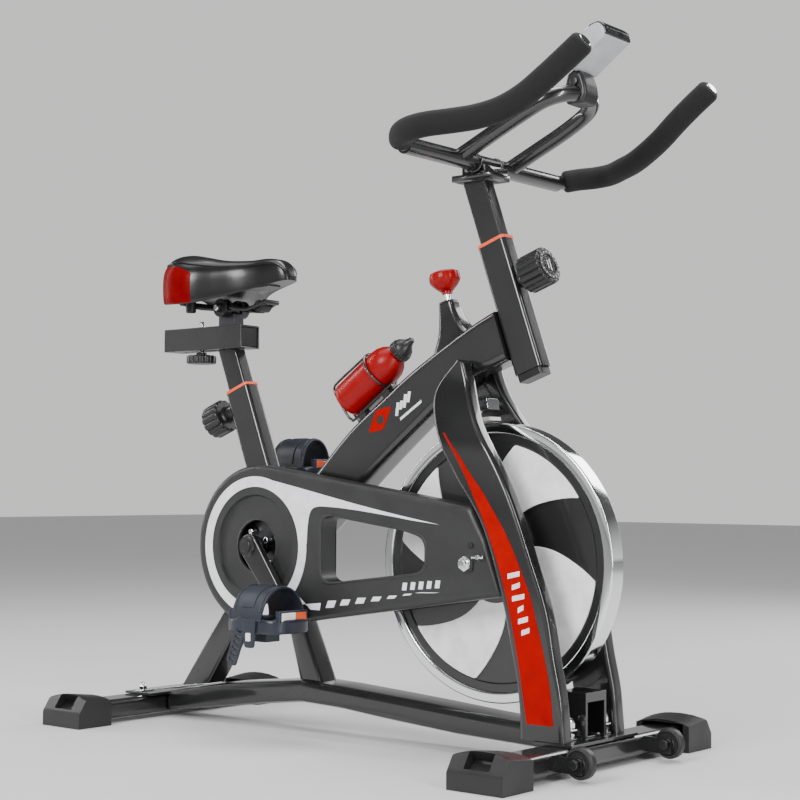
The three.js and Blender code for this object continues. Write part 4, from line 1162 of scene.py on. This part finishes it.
def saddle():
    stations = [-228 + 236 * (0.5 - 0.5 * math.cos(math.pi * i / 80)) for i in range(81)]
    quarter = [math.pi * k / 40 for k in range(21)]
    under = [-math.asin(k / 24) for k in range(1, 25)]
    angles = quarter + [math.pi - a for a in quarter[-2::-1]]
    angles += [math.pi - a for a in under] + [a for a in reversed(under[:-1])]
    rings = [[saddle_point(x, a) for a in angles] for x in stations]
    cushion = mesh_piece("saddle_cover", "saddle", VINYL, "saddle_vinyl", loft(rings),
                         replaces=("saddle_cushion",),
                         crease=60)
    seam = math.radians(38)
    path = [saddle_point(x, seam, 0.3) for x in stations[3:-2]]
    path += [saddle_point(x, math.pi - seam, 0.3) for x in reversed(stations[3:-2])]
    piping = mesh_piece("saddle_piping", "saddle", VINYL, "saddle_vinyl", tube(path + path[:1], 1.3, 10))
    plate_rings = []
    for x in range(-212, -28, 6):
        reach = min(34, saddle_shape(x)[0] * 0.6)
        low = saddle_shape(x)[1] + min(SADDLE_ARCH, max(0.0, saddle_shape(x)[0] - 20) * 0.5)
        plate_rings.append([(x, -reach, low + 2), (x, reach, low + 2), (x, reach, low - 2),
                            (x, -reach, low - 2)])
    mesh_piece("saddle_pan", "saddle", BLACK_PLASTIC, "black_plastic", loft(plate_rings), edge=0.8)
    bumpers = [moved(revolve([(7, 0), (8.5, 1.5), (8.5, 17), (7, 20)], 32), x, y, z)
               for x, y, z in ((-186, -38, 668), (-186, 38, 668))]
    bumpers.append(along_y(revolve([(8, -13), (9.5, -11), (9.5, 11), (8, 13)], 36), -58, 674))
    mesh_piece("saddle_bumpers", "saddle", TYRE, "wheel_rubber", *bumpers, crease=40)
    cap = along_y(revolve([(5.2, 34), (5.2, 37), (4, 38.2)], 32), -129, 674)
    mesh_piece("saddle_bolt_caps", "saddle", CHROME, "bright_steel", cap, mirrored(cap))


PANEL_TOP = [(-226, 712), (-219, 724), (-208, 733), (-194, 738), (-178, 739), (-160, 736), (-142, 727)]
PANEL_START, PANEL_LENGTH = -225, 84


def panel_reach(x, z):
    """How far out the cover's side is at a place and a height."""
    half, low, rim, high = saddle_shape(x)
    if z >= rim:
        s = min(0.999, ((z - rim) / (high - rim)) ** (1 / CROWN_POWER))
        return half * math.sqrt(1 - s * s) ** SIDE_POWER
    depth = math.asin(min(1.0, (rim - z) / (rim - low))) / (math.pi / 2)
    return half * (1 - 0.05 * depth ** 2)


def saddle_panels():
    """The red panel let into each side of the rear."""
    columns, rows = 42, 16
    for word, side in SIDES.items():
        rings = []
        for i in range(columns + 1):
            share = i / columns
            x = PANEL_START + PANEL_LENGTH * share * (2 - share)
            bottom, top = saddle_shape(x)[1] + 1.5, between(PANEL_TOP, x)
            heights = [bottom + (top - bottom) * j / rows for j in range(rows + 1)]
            outer = [(x, side * (panel_reach(x, z) + 0.8), z) for z in heights]
            inner = [(x, side * (panel_reach(x, z) - 1.5), z) for z in heights]
            rings.append(outer + inner[::-1])
        panel = mesh_piece(f"saddle_panel_{word}", "saddle", RED_VINYL, "red_plastic", loft(rings),
                           crease=50,
                           edge=0.6)


# ---------------------------------------------------------------- handlebar and console
BAR = {"x": 388, "z": 853, "radius": 12.5, "half": 188}
LOOP_RADIUS = 11.5
GRIP_RADIUS = 17
GRIP_PATH = [
    (392, 200, 856), (408, 218, 861), (432, 230, 863), (460, 230, 865), (490, 215, 868), (520, 200, 872),
    (550, 186, 881), (580, 177, 896), (610, 171, 917), (640, 168, 938), (668, 167, 957),
]
LOOP_HALF = [(390, 62, 857), (440, 62, 879), (490, 61, 901), (530, 54, 920), (552, 30, 930), (557, 0, 932)]


def handlebar():
    loop_path = [(x, -y, z) for x, y, z in LOOP_HALF] + LOOP_HALF[-2::-1]
    cross = along_y(revolve([(BAR["radius"], -BAR["half"]), (BAR["radius"], BAR["half"])], 40), BAR["x"],
                    BAR["z"])
    loop = tube(through(loop_path, 10), LOOP_RADIUS, 32)
    core_path = through([(BAR["x"], BAR["half"] - 8, BAR["z"])] + GRIP_PATH[:-1], 8)
    core = tube(core_path, BAR["radius"] - 1.5, 24)
    beads = [ring(BAR["x"], BAR["z"], BAR["radius"], 2.2, y) for y in (-26, 26)]
    mesh_piece("handlebar_tubes", "handlebar", PAINT, "frame_paint", cross, loop, core, mirrored(core),
               *beads,
               replaces=("handlebar_frame",))
    path = through(GRIP_PATH, 10)
    count = len(path)
    taper = [1 - 0.5 * max(0.0, 1 - i / 3) ** 2 for i in range(count)]
    taper = [t - 0.35 * max(0.0, 1 - (count - 1 - i) / 3) ** 2 for i, t in enumerate(taper)]
    end = Vector(GRIP_PATH[-1])
    heading = (end - Vector(GRIP_PATH[-2])).normalized()
    for word, side in SIDES.items():
        grip = mesh_piece(f"grip_foam_{word}", "handlebar", FOAM, "grip_foam",
                          on_side(tube(path, GRIP_RADIUS, 32, taper), side), replaces=(f"grip_{word}",),
                          crease=60)
        stub = [tuple(end + heading * step) for step in (-3, 0.5, 1.6)]
        mesh_piece(f"grip_end_{word}", "handlebar", CHROME, "bright_steel",
                   on_side(tube(stub, 9.5, 32, [1, 1, 0.85]), side), crease=50)


CONSOLE_SIDE = [(556, 960), (616, 1003), (613, 1015), (603, 1023), (592, 1021), (574, 1011), (541, 987)]


def console():
    outline = rounded(CONSOLE_SIDE, 9, 5)
    body = plate([outline], -34, 34, 5, 4)
    mesh_piece("console_body", "handlebar", CONSOLE_SILVER, "console_plastic", body, replaces=("console",),
               crease=40)
    clamp_side = [(541, 918), (568, 917), (574, 930), (572, 944), (566, 960), (556, 968), (543, 961),
                  (537, 938)]
    mesh_piece("console_clamp_block", "handlebar", BLACK_PLASTIC, "black_plastic",
               plate([rounded(clamp_side, 4, 4)], -19, 19, 5, 4),
               moved(along_y(revolve([(3.5, -24), (6, -23), (6, -18)], 24), 556, 948)),
               replaces=("console_clamp",))
    # The screen lies on the sloped face to the rider; a gloss band wraps the front end.
    lean = math.atan2(1021 - 987, 592 - 541)
    along = Vector((math.cos(lean), 0, math.sin(lean)))
    out = Vector((-math.sin(lean), 0, math.cos(lean)))
    middle = Vector((566, 0, 1004.5))

    def slab(length, width, low, high, shift=0.0, radius=5):
        section = rectangle(length, width, radius, 5)
        rings = []
        for height, shrink in ((low, 1), (high - 0.4, 1), (high, 0.985)):
            ring_points = []
            for u, v in section:
                point = middle + along * (u * shrink + shift) + out * height
                ring_points.append((point.x, v * shrink, point.z))
            rings.append(ring_points)
        return loft(rings)

    mesh_piece("console_bezel", "handlebar", CONSOLE_WHITE, "console_plastic", slab(54, 60, -2, 1.6))
    mesh_piece("console_screen", "handlebar", SCREEN, "black_plastic", slab(36, 48, -1, 2.2, 5))
    buttons = []
    for v in (-16, 0, 16):
        point = middle + along * -20
        button = prism([(6 * math.cos(a), 4 * math.sin(a)) for a in [math.pi * k / 12 for k in range(24)]],
                       0, 3, 1)
        turn = Matrix.Rotation(-lean, 3, "Y")
        buttons.append(moved(turned(button, turn), point.x, v, point.z + 0.6))
    mesh_piece("console_buttons", "handlebar", RED_PLASTIC, "red_plastic", *buttons)
    band = [(613, 1002.5), (617, 1004), (614.3, 1015.6), (603.6, 1023.9), (588, 1021), (584, 1014),
            (604, 1010)]
    mesh_piece("console_band", "handlebar", SCREEN, "black_plastic",
               plate([rounded(band, 3.5, 4)], -32.5, 32.5, 2.5, 4))


# ---------------------------------------------------------------- brake and bottle
def brake_knob():
    stem = revolve([(6, 13.5), (8, 14), (8.5, 18), (7, 20)], 40)
    cap = []
    for radius, height in ((8.5, 17), (14, 22), (20.5, 29), (23, 33), (23.5, 36), (23.3, 42), (21.8, 45.4),
                           (19, 46.8),
                           (4, 47)):
        section = ribbed(radius, 8, 0.035 * radius, 8)
        cap.append([(x, y, height) for x, y in section])
    mesh_piece("brake_knob_cap", "brake_knob", RED_PLASTIC, "red_plastic",
               *[leaning(part, BRAKE_AXIS) for part in (stem, loft(cap))], replaces=("brake_knob",),
               crease=50)


def brake_housing():
    """The boot that carries the brake rod: a narrow neck that flares down on to the tube."""
    stations = [(2, 11, 11, 0), (-1, 13, 13, 0), (-10, 14, 13.5, 0), (-24, 17, 15, 1), (-38, 21, 17.5, 3),
                (-50, 27, 20, 6), (-60, 35, 22, 10), (-70, 45, 23.5, 15), (-84, 52, 24, 19)]
    rings = []
    for height, half_x, half_y, shift in stations:
        section = rectangle(2 * half_x, 2 * half_y, min(half_x, half_y) * 0.55, 6)
        rings.append([(x + shift, y, height) for x, y in section])
    smooth = through([tuple(value for point in section for value in point) for section in rings], 4)
    rings = [[tuple(flat_ring[3 * k:3 * k + 3]) for k in range(len(flat_ring) // 3)] for flat_ring in smooth]
    neck = revolve([(5.4, -6), (5.4, 3.5), (8, 3.5), (10.5, 2), (10.5, -6)], 40, closed=True)
    mesh_piece("brake_boot_cover", "frame", PAINT, "frame_paint", leaning(loft(rings), BRAKE_AXIS),
               leaning(neck, BRAKE_AXIS), replaces=("brake_housing",), crease=45)


def bottle():
    radius, body = 29, 107
    profile = [(20, 0), (25, 1), (28, 3.5), (radius, 8), (radius, 12), (28.4, 13),
               (28.4, 15), (radius, 16), (radius, body - 16), (27.5, body - 6), (24, body + 2),
               (18, body + 10), (13.5, body + 14), (11, body + 16), (11, body + 24)]
    mesh_piece("bottle_shell", "bottle", RED_PLASTIC, "bottle_plastic",
               leaning(revolve(profile, 72), BOTTLE_AXIS),
               replaces=("bottle",), crease=50)
    skirt = prism(ribbed(18, 24, 0.9, 4), body + 17, body + 27, 1.5)
    spout = revolve([(16.5, body + 24), (16.5, body + 28), (15, body + 32), (11, body + 36.5),
                     (8, body + 40),
                     (6.2, body + 44), (4.8, body + 49), (3.8, body + 50)], 40)
    mesh_piece("bottle_lid", "bottle_cap", BLACK_PLASTIC, "black_plastic",
               *[leaning(part, BOTTLE_AXIS) for part in (skirt, spout)], replaces=("bottle_cap",))


def bottle_cage():
    wire = 2.0
    radius = 29 + wire + 0.8
    turns = [2 * math.pi * i / 10 for i in range(10)]
    hoop = [(radius + wire * math.cos(a), 80 + wire * math.sin(a)) for a in turns]
    parts = [revolve(hoop, 60, closed=True)]
    for side in (-1, 1):
        path = [(-radius, side * 7, 80), (-radius, side * 9, 40), (-radius, side * 10, 6),
                (-radius + 3, side * 10, -3),
                (-radius + 12, side * 10, -6), (0, side * 10, -6), (radius - 10, side * 9, -6),
                (radius, side * 8, -3), (radius + 3, side * 7, 6), (radius + 3, side * 6, 90)]
        parts.append(tube(through(path, 6), wire, 14))
    parts.append(box((radius + 1.5, -9, 2), (radius + 4.5, 9, 90)))
    for height in (10, 66):
        parts.append(box((radius + 3, -8, height), (57, 8, height + 14)))
    mesh_piece("bottle_cage_wire", "frame", PAINT, "frame_paint",
               *[leaning(part, BOTTLE_AXIS) for part in parts],
               replaces=("bottle_cage",), edge=0.4)


# ---------------------------------------------------------------- transport wheels
def transport_wheels():
    for word, side in SIDES.items():
        centre = CASTS[word]
        profile = [(4.7, -7.5), (9, -7.7), (10, -6.4), (15.5, -6.4), (17, -7.7), (19.5, -7), (21.3, -4.5),
                   (21.5, 0),
                   (21.3, 4.5), (19.5, 7), (17, 7.7), (15.5, 6.4), (10, 6.4), (9, 7.7), (4.7, 7.5)]
        wheel = along_y(revolve(profile, 56, closed=True), centre.x, centre.z, centre.y)
        mesh_piece(f"transport_tyre_{word}", f"transport_wheel_{word}", TYRE, "wheel_rubber", wheel,
                   replaces=(f"transport_wheel_{word}",), crease=30)


# ---------------------------------------------------------------- studio
def aim(location, target):
    return (Vector(target) - Vector(location)).to_track_quat("-Z", "Y").to_euler()


def area_light(name, location, target, size, power, size_y=None):
    lamp = bpy.data.lights.new(name, "AREA")
    lamp.energy = power
    lamp.size = size
    if size_y:
        lamp.shape = "RECTANGLE"
        lamp.size_y = size_y
    holder = bpy.data.objects.new(name, lamp)
    holder.location = location
    holder.rotation_euler = aim(location, target)
    bpy.context.scene.collection.objects.link(holder)


# Name, place, the point it faces, width, power and height, in metres and watts.
STUDIO_LIGHTS = (
    ("key", (0.3, -3.0, 1.9), (0, 0, 0.5), 1.3, 98, 1.3),
    ("front_strip", (2.9, -0.9, 1.3), (0.1, 0, 0.5), 0.28, 60, 2.4),
    ("rear_strip", (-2.7, -0.9, 1.4), (0, 0, 0.5), 0.35, 36, 2.4),
    ("top", (0.1, 0.6, 3.0), (0, 0, 0.5), 2.0, 48, 1.0),
    ("back", (0.6, 3.0, 1.8), (0, 0, 0.6), 1.2, 50, 1.8),
)
# How bright the surroundings look in reflections, from straight down (0) to straight up (1).
SKY_STOPS = ((0.0, 0.02), (0.49, 0.05), (0.51, 0.85), (0.57, 0.55), (0.66, 0.10), (0.85, 0.06), (1.0, 0.45))
FLOOR_REACH = 14


def studio():
    floor_mesh = bpy.data.meshes.new("floor")
    corners = [(x * FLOOR_REACH, y * FLOOR_REACH, 0) for x, y in ((-1, -1), (1, -1), (1, 1), (-1, 1))]
    floor_mesh.from_pydata(corners, [], [(0, 1, 2, 3)])
    floor = bpy.data.objects.new("floor", floor_mesh)
    bpy.context.scene.collection.objects.link(floor)
    look, nodes, links, shader = material("floor_pale", (0.72, 0.72, 0.72), 0, 0.6)
    tint(nodes, links, noise(nodes, links, 3, 3), shader, (0.71, 0.71, 0.71), (0.73, 0.73, 0.73))
    floor_mesh.materials.append(look)

    world = bpy.data.worlds.new("studio")
    bpy.context.scene.world = world
    world.use_nodes = True
    nodes, links = world.node_tree.nodes, world.node_tree.links
    background = nodes["Background"]
    seen = nodes.new("ShaderNodeBackground")
    seen.inputs["Color"].default_value = (*BACKDROP_COLOUR, 1)
    place = nodes.new("ShaderNodeTexCoord")
    split = nodes.new("ShaderNodeSeparateXYZ")
    ramp = nodes.new("ShaderNodeValToRGB")
    while len(ramp.color_ramp.elements) < len(SKY_STOPS):
        ramp.color_ramp.elements.new(0.5)
    for element, (position, grey) in zip(ramp.color_ramp.elements, SKY_STOPS):
        element.position = position
        element.color = (grey, grey, grey, 1)
    scale = nodes.new("ShaderNodeMapRange")
    scale.inputs["From Min"].default_value = -1
    links.new(place.outputs["Generated"], split.inputs["Vector"])
    links.new(split.outputs["Z"], scale.inputs["Value"])
    links.new(scale.outputs["Result"], ramp.inputs["Fac"])
    links.new(ramp.outputs["Color"], background.inputs["Color"])
    path = nodes.new("ShaderNodeLightPath")
    mix = nodes.new("ShaderNodeMixShader")
    links.new(path.outputs["Is Camera Ray"], mix.inputs["Fac"])
    links.new(background.outputs["Background"], mix.inputs[1])
    links.new(seen.outputs["Background"], mix.inputs[2])
    links.new(mix.outputs["Shader"], nodes["World Output"].inputs["Surface"])

    for light in STUDIO_LIGHTS:
        area_light(*light)
    sun = bpy.data.lights.new("sun", "SUN")
    sun.energy = 0.9
    sun.angle = math.radians(40)
    holder = bpy.data.objects.new("sun", sun)
    holder.rotation_euler = (math.radians(12), math.radians(-10), 0)
    bpy.context.scene.collection.objects.link(holder)


CAMERA = {"x": 1.8226, "y": -1.9648, "z": 0.3837, "yaw": 0.6897, "pitch": -0.0512, "roll": 0.0059}
LENS_MM = 75.29
CAMERA_SHIFT = 0.01815


def camera():
    yaw, pitch, roll = CAMERA["yaw"], CAMERA["pitch"], CAMERA["roll"]
    forward = Vector((-math.sin(yaw) * math.cos(pitch), math.cos(yaw) * math.cos(pitch), -math.sin(pitch)))
    right = Vector((math.cos(yaw), math.sin(yaw), 0))
    up = right.cross(forward)
    turned_right = right * math.cos(roll) + up * math.sin(roll)
    turned_up = up * math.cos(roll) - right * math.sin(roll)
    lens = bpy.data.cameras.new("camera")
    lens.lens = LENS_MM
    lens.shift_x = CAMERA_SHIFT
    eye = bpy.data.objects.new("camera", lens)
    basis = Matrix((turned_right, turned_up, -forward)).transposed().to_4x4()
    eye.matrix_world = Matrix.Translation((CAMERA["x"] + CRANK_SHIFT, CAMERA["y"], CAMERA["z"])) @ basis
    bpy.context.scene.collection.objects.link(eye)
    bpy.context.scene.camera = eye


camera()
studio()
carried_nodes()
feet()
front_nuts()
main_tube()
tube_mark()
fork_legs()
fork_decals()
flywheel()
chain_guard()
guard_decals()
guard_screws()
cranks()
spider_bolts()
pedals()
straps()
pull_knobs()
slider_knob()
sleeve_cap()
saddle()
saddle_panels()
handlebar()
console()
brake_knob()
brake_housing()
bottle()
bottle_cage()
transport_wheels()
